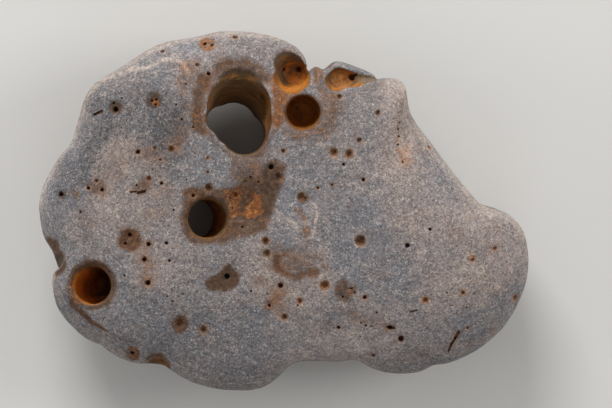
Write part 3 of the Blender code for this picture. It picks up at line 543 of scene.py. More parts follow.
# Raised lines and grooves of the upper face: height, half-width, paleness, rust, points
LINES = (
    (0.3, 0.8, 0.9, 0.2, (
        (-49.4, 27.6), (-46.6, 30.6), (-42.4, 33), (-37.6, 35), (-33.9, 34.8), (-32, 35.8),
    )),
    (0.3, 0.7, 1, 0.2, ((-32, 35.8), (-29.1, 37), (-26.3, 37), (-24.4, 35.8), (-23, 33.4))),
    (0.2, 0.4, 0.6, 0.2, ((-34.4, 33.2), (-30.4, 34.4), (-27, 34), (-24.8, 31.6))),
    (0.14, 0.35, 0.5, 0.2, ((-46, 27.6), (-42, 30.4), (-37.4, 32.2), (-33, 31.6))),
    (0.12, 0.35, 0.5, 0.2, ((-52, 12.4), (-50.6, 16.6), (-50.2, 21), (-49, 25))),
    (0.12, 0.35, 0.4, 0.2, ((-46, 12), (-45, 16.6), (-43.8, 20.4), (-40, 22.4))),
    (0.35, 1.1, 0.1, 0.3, (
        (30.1, 30.1), (28.8, 26.6), (28.3, 23.1), (29.1, 18.6), (30.1, 14.1), (30.3, 10.6),
    )),
    (0.35, 0.7, 0.45, 0.15, ((7.6, 36.1), (8.6, 33.6), (8.6, 30.6), (9.6, 28.1), (10.6, 24.6))),
    (0.3, 0.5, 0.35, 0.7, ((4.1, 36.1), (5.8, 34.1))),
    (0.14, 0.7, 1, 0.1, ((1.5, -2.2), (2.7, -3.4), (3.6, -5.1))),
    (0.16, 0.45, 0.8, 0.2, ((6.7, 2.2), (8.2, 1), (8.3, -1.4), (7.7, -4.4), (7.2, -6.7), (5.4, -7.3))),
    (0.12, 0.3, 0.45, 0.3, ((5.6, 0.2), (5.7, -2), (5.3, -4.4))),
    (-0.12, 0.3, 0.9, 0.2, (
        (49.4, -14.6), (48.6, -13.5), (47.5, -14.2), (47.8, -15.3), (48.9, -15.4), (49.4, -14.6),
    )),
    (0.1, 0.55, 0.45, 0.2, ((-11.8, -2.9), (-9.8, -2.8))),
    (0.14, 0.45, 0.4, 0.2, ((0.3, 15.4), (4.1, 16.5), (8.1, 16.2), (12.1, 16.1))),
    (0.16, 0.4, 0.2, 0.35, ((5.6, 18.6), (9.6, 18.9), (12.1, 20.1), (14.6, 22.6))),
    (0.12, 0.4, 0.25, 0.2, ((0.1, 17.6), (4.6, 18.4), (9.6, 17.6), (13.6, 18.6))),
    (-0.1, 0.35, 0, 0.2, ((-4.4, 15.6), (-1.4, 18.6), (0.2, 21.6), (0.6, 26.6), (-0.6, 30.6))),
    (0.15, 0.45, 0.5, 0.1, ((-27.6, -37.8), (-24.4, -39.8), (-18.4, -42), (-10.4, -43), (-4.4, -42))),
    (0.12, 0.35, 0.35, 0.1, ((-24.4, -37.9), (-18.4, -40.2), (-10.4, -41.4), (-4.4, -40.4))),
    (0.18, 0.8, 0.35, 0.15, ((54.1, -0.9), (57.6, -4.9), (59.1, -9.9), (59.3, -14.9))),
)

# Bands along the walls of the bores, seen from above: half-width, rust, painted light as a share (less than
# nothing is painted shade), points.
# Rust less than nothing is plain brown or dark.
WALL_BANDS = (
    # great bore: rust bands with painted light, and painted shade on its right wall
    (0.6, 0.55, 0.1, (
        (-18.6, 27.6), (-17.4, 30.4), (-15.6, 32.4), (-11.8, 33.2), (-8, 32.6), (-6.6, 32.4),
    )),
    (0.5, 0.6, -0.1, ((-18.9, 21.4), (-19.4, 24), (-18.8, 27))),
    (1.1, 0.7, -0.6, ((-4.2, 16.6), (-3.3, 20.4), (-3.4, 24.4), (-4.8, 28.6))),
    (0.5, 0.95, 0.25, ((-2.4, 19.4), (-1.9, 23), (-2.2, 27.4), (-3.4, 31))),
    # open cup: painted shade on its dark left wall and amber floor, painted light on its orange lip and the
    # brown slope above it
    (1.2, 1, 0.5, ((-0.2, 30.4), (1.8, 29.6), (4.4, 30.4), (5.4, 31.6))),
    (1, 0.1, -0.35, ((-1.2, 35.4), (-0.4, 33.2), (0.4, 31.8))),
    (1.1, 0.5, -0.4, ((1, 33.4), (2.4, 35.2), (4.2, 35.2))),
    (0.9, -0.35, 0.6, ((-1.8, 37.6), (0, 38.9), (2, 38.7), (3.6, 37.4))),
    # open scoop: painted shade on its brown left wall and floor, painted light on its pale tail and lower lip
    (1, 0.5, -0.35, ((10.8, 34.4), (11.2, 32), (12.4, 30.6))),
    (1.4, 0.6, -0.25, ((13.4, 32), (15.6, 32), (17.4, 32.2))),
    (1.4, -0.35, 0.7, ((19.4, 32.4), (21.4, 32), (24, 33.2))),
    (0.5, 0.9, 0.3, ((12.2, 30), (14.4, 29.4), (17, 29.8), (19.4, 31.2))),
    # blind bore: painted shade over all of it
    (3.2, 0.7, -0.5, ((4.2, 24.2), (6, 24.6))),
    (1, 0.9, -0.2, ((1.6, 22.6), (3, 21), (5, 20.5), (7.4, 21.2))),
    # edge cup, with painted shade under its lip
    (2.6, 0.5, -0.45, ((-33.4, -37.6), (-28.6, -38.4))),
    (0.6, 0.5, -0.6, ((-34.2, -36.6), (-32, -35.2), (-30, -35.4), (-28.4, -37.2))),
    # edge bore: brown, with painted shade that takes back the painted light of its depth
    (3, 0.15, -0.5, ((-54.6, -9), (-56.4, -12.4), (-58.8, -17.2))),
    # deep bore: painted light on the left and along the lower lip, painted shade on the right
    (1.3, 0.95, 1.3, ((-50.9, -16.4), (-51.3, -18.6), (-50.4, -21), (-48.4, -22.4), (-46.4, -22.6))),
    (1, 0.8, 0.5, ((-49.2, -15.2), (-49.6, -18), (-48.8, -20.4))),
    (1.9, 0.6, -0.75, ((-45.6, -15.8), (-44.4, -18.4), (-45.2, -20.6))),
)

# Camera and floor
CAMERA_LENS = 210.0
SENSOR = 36.0
FRAME_WIDTH = 0.153
FRAME_CENTRE = (0.0056, 0.0016)
FLOOR_SIDE = 4.0

# Light: name, place, side of the square, power. All of it aims at the middle of the stone.
LIGHT_AIM = (0.0, 0.0, 0.015)
STUDIO_LIGHTS = (
    ("back", (-0.32, 1.15, 0.62), 0.7, 17.0),
    ("right_end", (1.25, 0.25, 0.62), 0.6, 7.5),
    ("left_end", (-1.30, 0.05, 0.42), 0.6, 4.2),
    ("front", (0.1, -1.15, 0.75), 0.7, 1.6),
)
SKY = (0.33, 0.33, 0.335, 1.0)


def smoothstep(low, high, values):
    share = np.clip((values - low) / (high - low), 0.0, 1.0)
    return share * share * (3 - 2 * share)


def field(points, size, seed=0.0):
    """Noise between about -1 and 1 at each point, whose lumps are about that size in millimetres."""
    shift = Vector((seed * 17.3, seed * -9.1, seed * 5.7))
    return np.array([noise.noise(Vector(point) / size + shift) for point in points])


def new_object(name, mesh):
    piece = bpy.data.objects.new(name, mesh)
    bpy.context.scene.collection.objects.link(piece)
    return piece


def evaluated_mesh(piece):
    bpy.context.view_layer.update()
    graph = bpy.context.evaluated_depsgraph_get()
    return bpy.data.meshes.new_from_object(piece.evaluated_get(graph))


def keep_modifiers(piece):
    mesh = evaluated_mesh(piece)
    piece.modifiers.clear()
    piece.data = mesh


def vectors(items, name):
    flat = np.empty(len(items) * 3, np.float32)
    items.foreach_get(name, flat)
    return flat.reshape(-1, 3).astype(float)


# The pebble

def outline_radii():
    """Distance from CENTRE to the edge at each turn step, as drawn and with only its broad waves."""
    points = np.array(OUTLINE)
    before, after, beyond = (np.roll(points, shift, axis=0) for shift in (1, -1, -2))
    t = (np.arange(OUTLINE_STEPS) / OUTLINE_STEPS)[:, None, None]
    curve = 0.5 * (
        2 * points
        + (after - before) * t
        + (2 * before - 5 * points + 4 * after - beyond) * t**2
        + (3 * points - before - 3 * after + beyond) * t**3
    )
    curve = curve.transpose(1, 0, 2).reshape(-1, 2) - np.array(CENTRE)
    turns = np.unwrap(np.arctan2(curve[:, 1], curve[:, 0]))
    order = np.argsort(turns)
    wanted = np.arange(TURN_STEPS) * math.tau / TURN_STEPS
    radii = np.interp(wanted, turns[order], np.hypot(*curve[order].T), period=math.tau)
    waves = np.fft.rfft(radii)
    waves[LOBE_HARMONICS + 1 :] = 0
    return radii, np.fft.irfft(waves, TURN_STEPS)


EDGE_RADII, BROAD_RADII = outline_radii()


def around(radii, turn):
    return np.interp((turn / math.tau % 1.0) * TURN_STEPS, np.arange(TURN_STEPS), radii, period=TURN_STEPS)


def section_radius(turn, scale, side):
    """Distance from CENTRE to the section that is scale times the size of the widest one."""
    face = CROWN_FACE if side > 0 else BELLY_FACE
    lean = side * LOBE_SKEW * np.sqrt(1 - np.minimum(scale, 1.0) ** (2 / face.fullness))
    ripple = around(EDGE_RADII, turn + lean) - around(BROAD_RADII, turn + lean)
    return scale * (around(BROAD_RADII, turn) + ripple * scale**face.lobe_fade)


def relief(table, x, y):
    total = 0.0
    for centre_x, centre_y, length, width, turn, height in table:
        c, s = math.cos(math.radians(turn)), math.sin(math.radians(turn))
        along = ((x - centre_x) * c + (y - centre_y) * s) / length
        across = ((y - centre_y) * c - (x - centre_x) * s) / width
        total = total + height * np.exp(-(along**2) - across**2)
    return total


def plan_noise(x, y, level, length):
    """Noise at plan points, taken at one level, whose waves are about that long."""
    places = np.stack([np.ravel(x), np.ravel(y)], axis=1)
    waves = np.array([noise.noise(Vector((*place, level)) / length) for place in places])
    return waves.reshape(np.shape(x))


def face_height(x, y, scale, side):
    """Height of the upper face (side 1) or the underside (side -1) at points of one section."""
    face = CROWN_FACE if side > 0 else BELLY_FACE
    share = (1 - np.minimum(scale, 1.0) ** (2 / face.fullness)) ** (face.fullness / 2)
    swell = SWELL_HEIGHT * plan_noise(x, y, side * SWELL_LENGTH, SWELL_LENGTH)
    sway = WAIST_SWAY * plan_noise(x, y, 0, WAIST_LENGTH)
    height = face.rise + swell + relief(face.relief, x, y)
    return EQUATOR + sway * scale**4 + side * share * height


def surface_height(x, y, side):
    """Height of the unbored face above or below each plan point."""
    dx, dy = x - CENTRE.x, y - CENTRE.y
    distance, turn = np.hypot(dx, dy), np.arctan2(dy, dx)
    low, high = np.zeros_like(distance), np.ones_like(distance)
    for _ in range(SCALE_HALVINGS):
        middle = (low + high) / 2
        inside = section_radius(turn, middle, side) < distance
        low, high = np.where(inside, middle, low), np.where(inside, high, middle)
    return face_height(x, y, low, side)


def pebble():
    """The pebble before anything bored it: sections of the outline that close in above and below."""
    turns = np.arange(TURN_STEPS) * math.tau / TURN_STEPS
    points = []
    for level in range(-RISE_STEPS + 1, RISE_STEPS):
        side = 1 if level >= 0 else -1
        fullness = (CROWN_FACE if side > 0 else BELLY_FACE).fullness
        scale = math.cos(abs(level) / RISE_STEPS * math.pi / 2) ** fullness
        distance = section_radius(turns, scale, side)
        x, y = CENTRE.x + distance * np.cos(turns), CENTRE.y + distance * np.sin(turns)
        points.append(np.stack([x, y, face_height(x, y, scale, side)], axis=1))
    poles = [(*CENTRE, float(face_height(CENTRE.x, CENTRE.y, 0.0, side))) for side in (-1, 1)]
    points = np.concatenate([*points, poles])
    rings = 2 * RISE_STEPS - 1
    last = (rings - 1) * TURN_STEPS
    low_pole, high_pole = rings * TURN_STEPS, rings * TURN_STEPS + 1
    faces = []
    for step in range(TURN_STEPS):
        after = (step + 1) % TURN_STEPS
        for low in range(0, last, TURN_STEPS):
            high = low + TURN_STEPS
            faces.append((low + step, low + after, high + after, high + step))
        faces.append((after, step, low_pole))
        faces.append((last + step, last + after, high_pole))
    mesh = bpy.data.meshes.new("pebble")
    mesh.from_pydata(points.tolist(), [], faces)
    return new_object("flint_nodule", mesh)


# What bored it

def tube(name, stations):
    """A round tool swept through stations of x, y, height and radius."""
    curve = bpy.data.curves.new(name, "CURVE")
    curve.dimensions = "3D"
    curve.bevel_depth = 1.0
    curve.bevel_resolution = BORE_SIDES // 4 - 2
    curve.use_fill_caps = True
    curve.resolution_u = BORE_STEPS
    spline = curve.splines.new("BEZIER")
    spline.bezier_points.add(len(stations) - 1)
    for point, (x, y, z, radius) in zip(spline.bezier_points, stations):
        point.co = (x, y, z)
        point.radius = radius
        point.handle_left_type = point.handle_right_type = "AUTO"
    swept = new_object(name, curve)
    mesh = evaluated_mesh(swept)
    bpy.data.objects.remove(swept)
    bm = bmesh.new()
    bm.from_mesh(mesh)
    bmesh.ops.remove_doubles(bm, verts=bm.verts, dist=WELD)
    bmesh.ops.recalc_face_normals(bm, faces=bm.faces)
    bm.to_mesh(mesh)
    bm.free()
    return new_object(name + "_tool", mesh)


def bored(stone, tools):
    for cutter in tools:
        boolean = stone.modifiers.new(cutter.name, "BOOLEAN")
        boolean.operation = "DIFFERENCE"
        boolean.solver = "EXACT"
        boolean.object = cutter
    keep_modifiers(stone)


def worn(stone):
    """Rounds the lips, as the sea did, and leaves more faces above than below."""
    remesh = stone.modifiers.new("grain", "REMESH")
    remesh.mode = "VOXEL"
    remesh.voxel_size = VOXEL
    smooth = stone.modifiers.new("wear", "SMOOTH")
    smooth.factor = 0.5
    smooth.iterations = WEAR_ROUNDS
    keep_modifiers(stone)
    mesh = stone.data
    height, facing = vectors(mesh.vertices, "co")[:, 2], vectors(mesh.vertex_normals, "vector")[:, 2]
    hidden = smoothstep(EQUATOR + WAIST_BAND, EQUATOR - WAIST_BAND, height) * smoothstep(0.5, -0.1, facing)
    coarse = stone.vertex_groups.new(name="coarse")
    shares = np.maximum(np.round(hidden, 1), LEAST_SHARE)
    for share in np.unique(shares):
        coarse.add(np.flatnonzero(shares == share).tolist(), float(share), "REPLACE")
    mesh.calc_loop_triangles()
    thin = stone.modifiers.new("plain faces", "DECIMATE")
    thin.ratio = BODY_TRIANGLES / len(mesh.loop_triangles)
    thin.vertex_group = coarse.name
    thin.vertex_group_factor = UPPER_FACE_KEPT
    keep_modifiers(stone)
    stone.vertex_groups.clear()


# Fine places, and what is carved there

def seen_place(surface, x, y, side):
    """Where a straight look down on the stone, or up at it, first meets it, and how it faces there."""
    start = Vector((x, y, EQUATOR + side * FAR))
    place, facing, _, _ = surface.ray_cast(start, Vector((0.0, 0.0, -side)))
    return None if place is None else (place, facing)


def pit_places(surface):
    """Each pit that meets the stone: its mouth, the way out, its radius, its halo's, its steepness."""
    found = []
    for side, steepness, table in SMALL_BORINGS:
        for x, y, radius, halo in table:
            hit = seen_place(surface, x, y, side)
            if hit:
                place, facing = hit
                outward = (facing + Vector((0.0, 0.0, PIT_LEAN * side))).normalized()
                found.append((place, outward, radius, halo, steepness))
    return found


def line_steps(points, step):
    """Points along a line of plan points, no further apart than step."""
    for (x0, y0), (x1, y1) in zip(points, points[1:]):
        count = max(1, math.ceil(math.hypot(x1 - x0, y1 - y0) / step))
        for index in range(count):
            share = index / count
            yield x0 + (x1 - x0) * share, y0 + (y1 - y0) * share
    yield points[-1]


def fine_places(surface, pits):
    """Where the mesh has to be finer than the rest: place, reach and the longest edge allowed."""
    for place, _, radius, _, _ in pits:
        yield place, 1.35 * radius + 0.1, max(0.4 * radius, SHORTEST_EDGE)
    for x0, y0, x1, y1, radius in SLOTS:
        for x, y in line_steps(((x0, y0), (x1, y1)), 0.4):
            yield seen_place(surface, x, y, 1)[0], 1.6 * radius + 0.2, SHORTEST_EDGE
    for _, half_width, _, _, points in LINES:
        if half_width < BROAD_LINE:
            for x, y in line_steps(points, 0.5):
                yield seen_place(surface, x, y, 1)[0], 1.5 * half_width + 0.1, 1.2 * SHORTEST_EDGE


def refine(stone, places):
    """Splits the edges near each place until they are short, so that what is carved there is round."""
    places = list(places)
    bm = bmesh.new()
    bm.from_mesh(stone.data)
    for _ in range(REFINE_ROUNDS):
        bm.verts.ensure_lookup_table()
        tree = kdtree.KDTree(len(bm.verts))
        for index, vertex in enumerate(bm.verts):
            tree.insert(vertex.co, index)
        tree.balance()
        long_edges = set()
        for place, reach, longest in places:
            for _, index, _ in tree.find_range(place, reach):
                edges = bm.verts[index].link_edges
                long_edges.update(edge for edge in edges if edge.calc_length() > longest)
        ordered = sorted(long_edges, key=lambda edge: edge.index)
        bmesh.ops.subdivide_edges(bm, edges=ordered, cuts=1)
        wide = [face for face in bm.faces if len(face.verts) > 3]
        bmesh.ops.triangulate(bm, faces=wide, quad_method="SHORT_EDGE")
        bm.edges.index_update()
    bm.to_mesh(stone.data)
    bm.free()


def sink_pits(points, pits):
    """Sinks each pit along its own axis.

    Returns the points, and how much each is in a pit, in a dimple, in a rusty halo and on a worn rim.
    """
    sunk, inside, bottom, halo_stain, rim = np.zeros((5, len(points)))
    axes = np.zeros_like(points)
    for place, outward, radius, halo, steepness in pits:
        reach = max(2.6 * radius, 1.4 * halo)
        near = np.flatnonzero(np.sum((points - np.array(place)) ** 2, axis=1) < reach**2)
        offset = points[near] - np.array(place)
        axis = np.array(outward)
        along = offset @ axis
        across = offset - along[:, None] * axis
        distance = np.linalg.norm(across, axis=1)
        heading = across / (distance[:, None] + 1e-6)
        lopsided = field(heading * 0.8 + np.array(place), 1.0)
        share = distance / (radius * (1 + 0.22 * lopsided))
        shallow = np.abs(along) < 1.6 * radius + 0.4
        hole = smoothstep(1.08, 0.62, share) * shallow
        funnel = smoothstep(1.9, 0.8, share) * shallow
        depth = steepness * radius * hole + 0.16 * radius * funnel
        deeper = depth > sunk[near]
        sunk[near[deeper]] = depth[deeper]
        axes[near[deeper]] = axis
        if steepness == PIT_DEPTH:
            inside[near] = np.maximum(inside[near], hole)
        else:
            bottom[near] = np.maximum(bottom[near], smoothstep(1.2, 0.7, share) * shallow)
        if halo > 0:
            rim[near] = np.maximum(rim[near], 0.5 * np.exp(-((share - 1.5) / 0.35) ** 2))
            ring = np.exp(-1.6 * (distance / halo) ** 2) * (1 + 0.3 * lopsided)
            halo_stain[near] = np.maximum(halo_stain[near], ring)
    return points - sunk[:, None] * axes, inside, bottom, halo_stain, rim


def nearest_on(start, end, places):
    """The nearest spot of a side to each place: what share along it lies, and the way to the place."""
    side = end - start
    offset = places - start
    share = np.clip(offset @ side / (side @ side), 0.0, 1.0)
    return share, offset - share[:, None] * side


def distance_to_line(points, places, closed=False):
    """Distance of each plan place from a line of plan points."""
    corners = np.array(points, float)
    starts, ends = (corners, np.roll(corners, -1, axis=0)) if closed else (corners[:-1], corners[1:])
    nearest = np.full(len(places), np.inf)
    for start, end in zip(starts, ends):
        _, gap = nearest_on(start, end, places)
        nearest = np.minimum(nearest, np.linalg.norm(gap, axis=1))
    return nearest


def depth_inside(outline, places):
    """How far each plan place is inside an outline, and less than nothing outside it."""
    inside = np.zeros(len(places), bool)
    corners = np.array(outline, float)
    for (x0, y0), (x1, y1) in zip(corners, np.roll(corners, -1, axis=0)):
        crosses = (y0 > places[:, 1]) != (y1 > places[:, 1])
        crossing = x0 + (places[:, 1] - y0) * (x1 - x0) / ((y1 - y0) or 1.0)
        inside ^= crosses & (places[:, 0] < crossing)
    distance = distance_to_line(outline, places, closed=True)
    return np.where(inside, distance, -distance)


def ledge_drop(places):
    """How far the slipped edge has sunk at each plan place, on the outer side of the ledge only."""
    corners = np.array([(x, y) for x, y, _ in EDGE_LEDGE])
    drops = [drop for _, _, drop in EDGE_LEDGE]
    nearest, drop_here = np.full(len(places), np.inf), np.zeros(len(places))
    for start, end, drop, next_drop in zip(corners, corners[1:], drops, drops[1:]):
        share, gap = nearest_on(start, end, places)
        distance = np.hypot(*gap.T)
        side = end - start
        outward = side[0] * gap[:, 1] - side[1] * gap[:, 0] < 0
        closer = distance < np.abs(nearest)
        nearest[closer] = np.where(outward, -distance, distance)[closer]
        drop_here[closer] = (drop * (1 - share) + next_drop * share)[closer]
    step = smoothstep(0.3, -LEDGE_WIDTH, nearest)
    fading = np.exp(np.minimum(nearest, 0.0) / LEDGE_FADE)
    return drop_here * step * fading * (np.abs(nearest) < LEDGE_REACH)


def near_tools(points, tools):
    """For each point, how nearly it lies on the wall of a bore, and how rusty that bore is."""
    closeness, rust = np.zeros((2, len(points)))
    for name, cutter in tools.items():
        mesh = cutter.data
        corners = [vertex.co for vertex in mesh.vertices]
        shape = BVHTree.FromPolygons(corners, [tuple(face.vertices) for face in mesh.polygons])
        wall = vectors(mesh.vertices, "co")
        low, high = wall.min(axis=0) - WALL_REACH, wall.max(axis=0) + WALL_REACH
        near = np.flatnonzero(np.all((points > low) & (points < high), axis=1))
        gaps = np.array([shape.find_nearest(Vector(points[index]))[3] for index in near])
        on_wall = smoothstep(WALL_REACH, 0.12, gaps)
        better = on_wall > closeness[near]
        closeness[near[better]] = on_wall[better]
        rust[near[better]] = BORES[name][0]
    return closeness, rust


def covered(points):
    """How far each point is below the face that the pebble had before it was bored, from either side."""
    above = surface_height(points[:, 0], points[:, 1], 1) - points[:, 2]
    below = points[:, 2] - surface_height(points[:, 0], points[:, 1], -1)
    return np.maximum(np.minimum(above, below), 0.0)


def mouth_gap(points):
    """How far each point is outside the nearest mouth, seen from above."""
    gaps = [np.hypot(points[:, 0] - x, points[:, 1] - y) - radius for x, y, radius in MOUTHS]
    return np.minimum.reduce(gaps)


def bedding(points, wall):
    """A height whose levels are the fine layers that the stone shows: they bend round the bores."""
    gap = mouth_gap(points)
    level = 0.9 * points[:, 2] + 0.35 * points[:, 1] + 0.1 * points[:, 0]
    near = smoothstep(9.0, 2.0, gap)
    return level + near * (gap - level) * (1 - wall) + wall * (points[:, 2] - level)


def iron_stain(points, wobble, upper, wall, rust):
    """How strongly each point is stained by iron, and how rusty rather than brown it is."""
    plan = points[:, :2]
    stain = np.zeros(len(points))

    def lay(here, here_rust, walls=wall):
        """Lays one stain over the weaker ones. Where walls are rustier, they stay so."""
        stronger = here > stain
        stain[stronger] = here[stronger]
        rust[stronger] = np.maximum(walls[stronger] * rust[stronger], here_rust)

    for strength, patch_rust, softness, outline in STAINS:
        inside = depth_inside(outline, plan + wobble * (0.3 + 0.6 * softness))
        lay(strength * smoothstep(-softness, softness, inside) * upper, patch_rust)
    for x, y, radius, strength, spot_rust in SPOTS:
        distance = np.hypot(plan[:, 0] - x, plan[:, 1] - y) * (1 + 0.16 * wobble[:, 0]) / radius
        lay(strength * smoothstep(1.2, 0.65, distance) * upper, spot_rust)
    for x, y, inner, outer, strength, ring_rust in HALOS:
        distance = np.hypot(plan[:, 0] - x, plan[:, 1] - y) + 0.3 * wobble[:, 0]
        ring = smoothstep(outer + 0.25, outer - 0.35, distance) * (distance > inner - 1.5)
        lay(strength * ring * upper, ring_rust, walls=np.zeros(len(points)))
    stain *= 1 + 0.3 * field(np.column_stack([plan, 0 * plan[:, 0]]), 1.7, SEEDS["patchy stain"])
    hidden_stain = 0.6 * smoothstep(0.25, 0.6, field(points, 9.0, SEEDS["hidden stain"])) * (1 - upper)
    stain = np.maximum(stain, hidden_stain)
    return stain, np.where((hidden_stain >= stain) & (wall < 0.5), 0.35, rust)


def warmth_and_shade(points, wobble, upper):
    """How warm the grey of each point is, and by what share it is lighter than elsewhere: patches of stone,
    and painted light and shade along some rims.
    """
    wandering = points[:, :2] + 1.6 * wobble
    warmth = np.full(len(points), PLAIN_WARMTH)
    for zone_warmth, softness, outline in WARM_ZONES:
        share = smoothstep(-softness, softness, depth_inside(outline, wandering))
        warmth = warmth + share * (zone_warmth - warmth)
    hidden_warmth = PLAIN_WARMTH + 0.3 * field(points, 14.0, SEEDS["hidden warmth"])
    warmth = np.where(upper > 0.5, warmth, hidden_warmth)
    shade = np.zeros(len(points))
    for zone_light, softness, outline in LIGHT_ZONES:
        shade += zone_light * smoothstep(-softness, softness, depth_inside(outline, wandering))
    return warmth, shade * upper


def wall_bands(points, rust):
    """The rust of the bore walls and of the bands along them, and the painted light and shade of the bands, as
    a share.
    """
    wander = np.stack([field(points, 2.0, seed) for seed in SEEDS["wall bands"]], axis=1)
    plan = points[:, :2] + 0.4 * wander
    light = np.zeros(len(points))
    for half_width, band, band_light, line in WALL_BANDS:
        share = np.exp(-((distance_to_line(line, plan) / half_width) ** 2)) * (points[:, 2] > BAND_FOOT)
        rust = rust + share * (band - rust)
        light = light + share * (band_light - light)
    return rust, light


def unevenness(points, wobble, upper, wall, stain, lay):
    """How far the bare surface stands out: lumps, crust, the slipped ledge and the layers."""
    raised = sum(height * field(points, size, seed) for height, size, seed in LUMPS)
    raised = raised - 0.12 * stain * (1 + field(points, 1.1, SEEDS["crust"])) * (1 - wall)
    raised = raised - ledge_drop(points[:, :2] + 0.35 * wobble) * upper
    layers = field(np.column_stack([0.16 * points[:, :2], 1.3 * lay]), 1.0, SEEDS["layers"])
    raised = raised + wall * (0.13 * layers + 0.07 * field(points, 0.9, SEEDS["rough walls"]))
    return raised + 0.09 * layers * (1 - wall) * smoothstep(9.0, 2.0, mouth_gap(points)) * upper


def shoulder_wear_and_highlight(points, facing, wall):
    """How pale the stone is where it turns down from the upper face, away from the bores and not facing the
    front: partly wear, partly painted highlight on the shoulders that face the back and end lights.
    """
    pale = 0.5 * smoothstep(0.72, 0.4, facing[:, 2]) * smoothstep(14.0, 18.0, points[:, 2]) * (1 - wall)
    return pale * (smoothstep(-0.5, 0.1, facing[:, 1]) * smoothstep(2.0, 5.0, mouth_gap(points)))


def shape_and_mark(stone, tools, pits):
    """Carves the small forms, and keeps where the stone is stained, worn, bored and warm, for its paint."""
    mesh = stone.data
    points, facing = vectors(mesh.vertices, "co"), vectors(mesh.vertex_normals, "vector")
    plan = points[:, :2]
    upper = smoothstep(0.05, 0.35, facing[:, 2]) * (points[:, 2] > 8.0)
    wall, rust = near_tools(points, tools)
    sunk = covered(points)
    wall = wall * smoothstep(0.1, 1.3, sunk)
    open_face = 1 - wall
    wobble = np.stack([field(points, 2.6, seed) for seed in SEEDS["wobble"]], axis=1)
    stain, rust = iron_stain(points, wobble, upper, wall, rust)
    warmth, shade = warmth_and_shade(points, wobble, upper)
    lay = bedding(points, wall)

    raised = unevenness(points, wobble, upper, wall, stain, lay)
    # pale shoulders: partly wear, partly painted highlight where they face the lights
    pale = shoulder_wear_and_highlight(points, facing, wall)
    broken = 0.75 + 0.5 * field(points, 1.7, SEEDS["broken lines"])
    for height, half_width, line_pale, line_rust, line in LINES:
        distance = distance_to_line(line, plan + 0.25 * half_width * wobble)
        profile = np.exp(-((distance / half_width) ** 2)) * upper * open_face
        raised = raised + height * profile * np.clip(broken, 0.2, 1.3)
        pale = np.maximum(pale, line_pale * profile * np.clip(broken, 0.5, 1.2))
        here = line_rust * profile * 0.8
        rust = np.where((here > 0.25) & (stain < here), 0.75, rust)
        stain = np.maximum(stain, here * (line_rust > 0.25))
    points = points + raised[:, None] * facing

    for x0, y0, x1, y1, radius in SLOTS:
        distance = distance_to_line(((x0, y0), (x1, y1)), plan) / radius
        points[:, 2] -= 2.2 * radius * (smoothstep(1.15, 0.6, distance) * upper)
        stain = np.maximum(stain, 0.8 * smoothstep(1.5, 1.0, distance) * upper)
    points, pit, bottom, halo, rim = sink_pits(points, pits)
    pale = np.maximum(pale, rim * open_face)
    for pit_stain, pit_rust in ((0.8 * halo * open_face, 0.55), (0.85 * bottom, 0.5)):
        rust = np.where(pit_stain > stain, pit_rust, rust)
        stain = np.maximum(stain, pit_stain)

    banded, wall_light = wall_bands(points, rust)
    marks = {
        "wall": wall,
        # how deep in a bore each wall point is: it sets the painted light of the lining
        "depth": np.clip(sunk * smoothstep(0.3, 0.8, wall) / DEEPEST, 0.0, 1.0),
        "stain": stain,
        "rust": np.where(wall > 0.2, banded, rust),
        "pit": pit,
        "warmth": warmth,
        "pale": pale,
        # painted light and shade: the wall bands' on the walls, the light zones' on the upper face
        "shade": shade + (wall_light - shade) * wall,
        "lay": lay,
    }
    # nothing of the stone reaches below the flat that it rests on
    points[:, 2] = np.maximum(points[:, 2], 0.0)
    mesh.vertices.foreach_set("co", points.astype(np.float32).ravel())
    mesh.update()
    for name, values in marks.items():
        layer = mesh.attributes.new(name, "FLOAT", "POINT")
        layer.data.foreach_set("value", values.astype(np.float32))


def flint_nodule():
    stone = pebble()
    tools = {name: tube(name, stations) for name, (_, stations) in BORES.items()}
    bored(stone, tools.values())
    worn(stone)
    surface = BVHTree.FromObject(stone, bpy.context.evaluated_depsgraph_get())
    pits = pit_places(surface)
    refine(stone, fine_places(surface, pits))
    shape_and_mark(stone, tools, pits)
    for cutter in tools.values():
        bpy.data.objects.remove(cutter)
    stone.data.polygons.foreach_set("use_smooth", [True] * len(stone.data.polygons))
    stone.data.transform(Matrix.Scale(MM, 4))
    return stone


# The material

class Value:
    """A number that runs through a material. Its operators add Math nodes."""

    def __init__(self, paint, socket):
        self.paint = paint
        self.socket = socket

    def __add__(self, other):
        return self.paint.math("ADD", self, other)

    def __radd__(self, other):
        return self.paint.math("ADD", other, self)

    def __sub__(self, other):
        return self.paint.math("SUBTRACT", self, other)

    def __rsub__(self, other):
        return self.paint.math("SUBTRACT", other, self)

    def __mul__(self, other):
        return self.paint.math("MULTIPLY", self, other)

    def __rmul__(self, other):
        return self.paint.math("MULTIPLY", other, self)


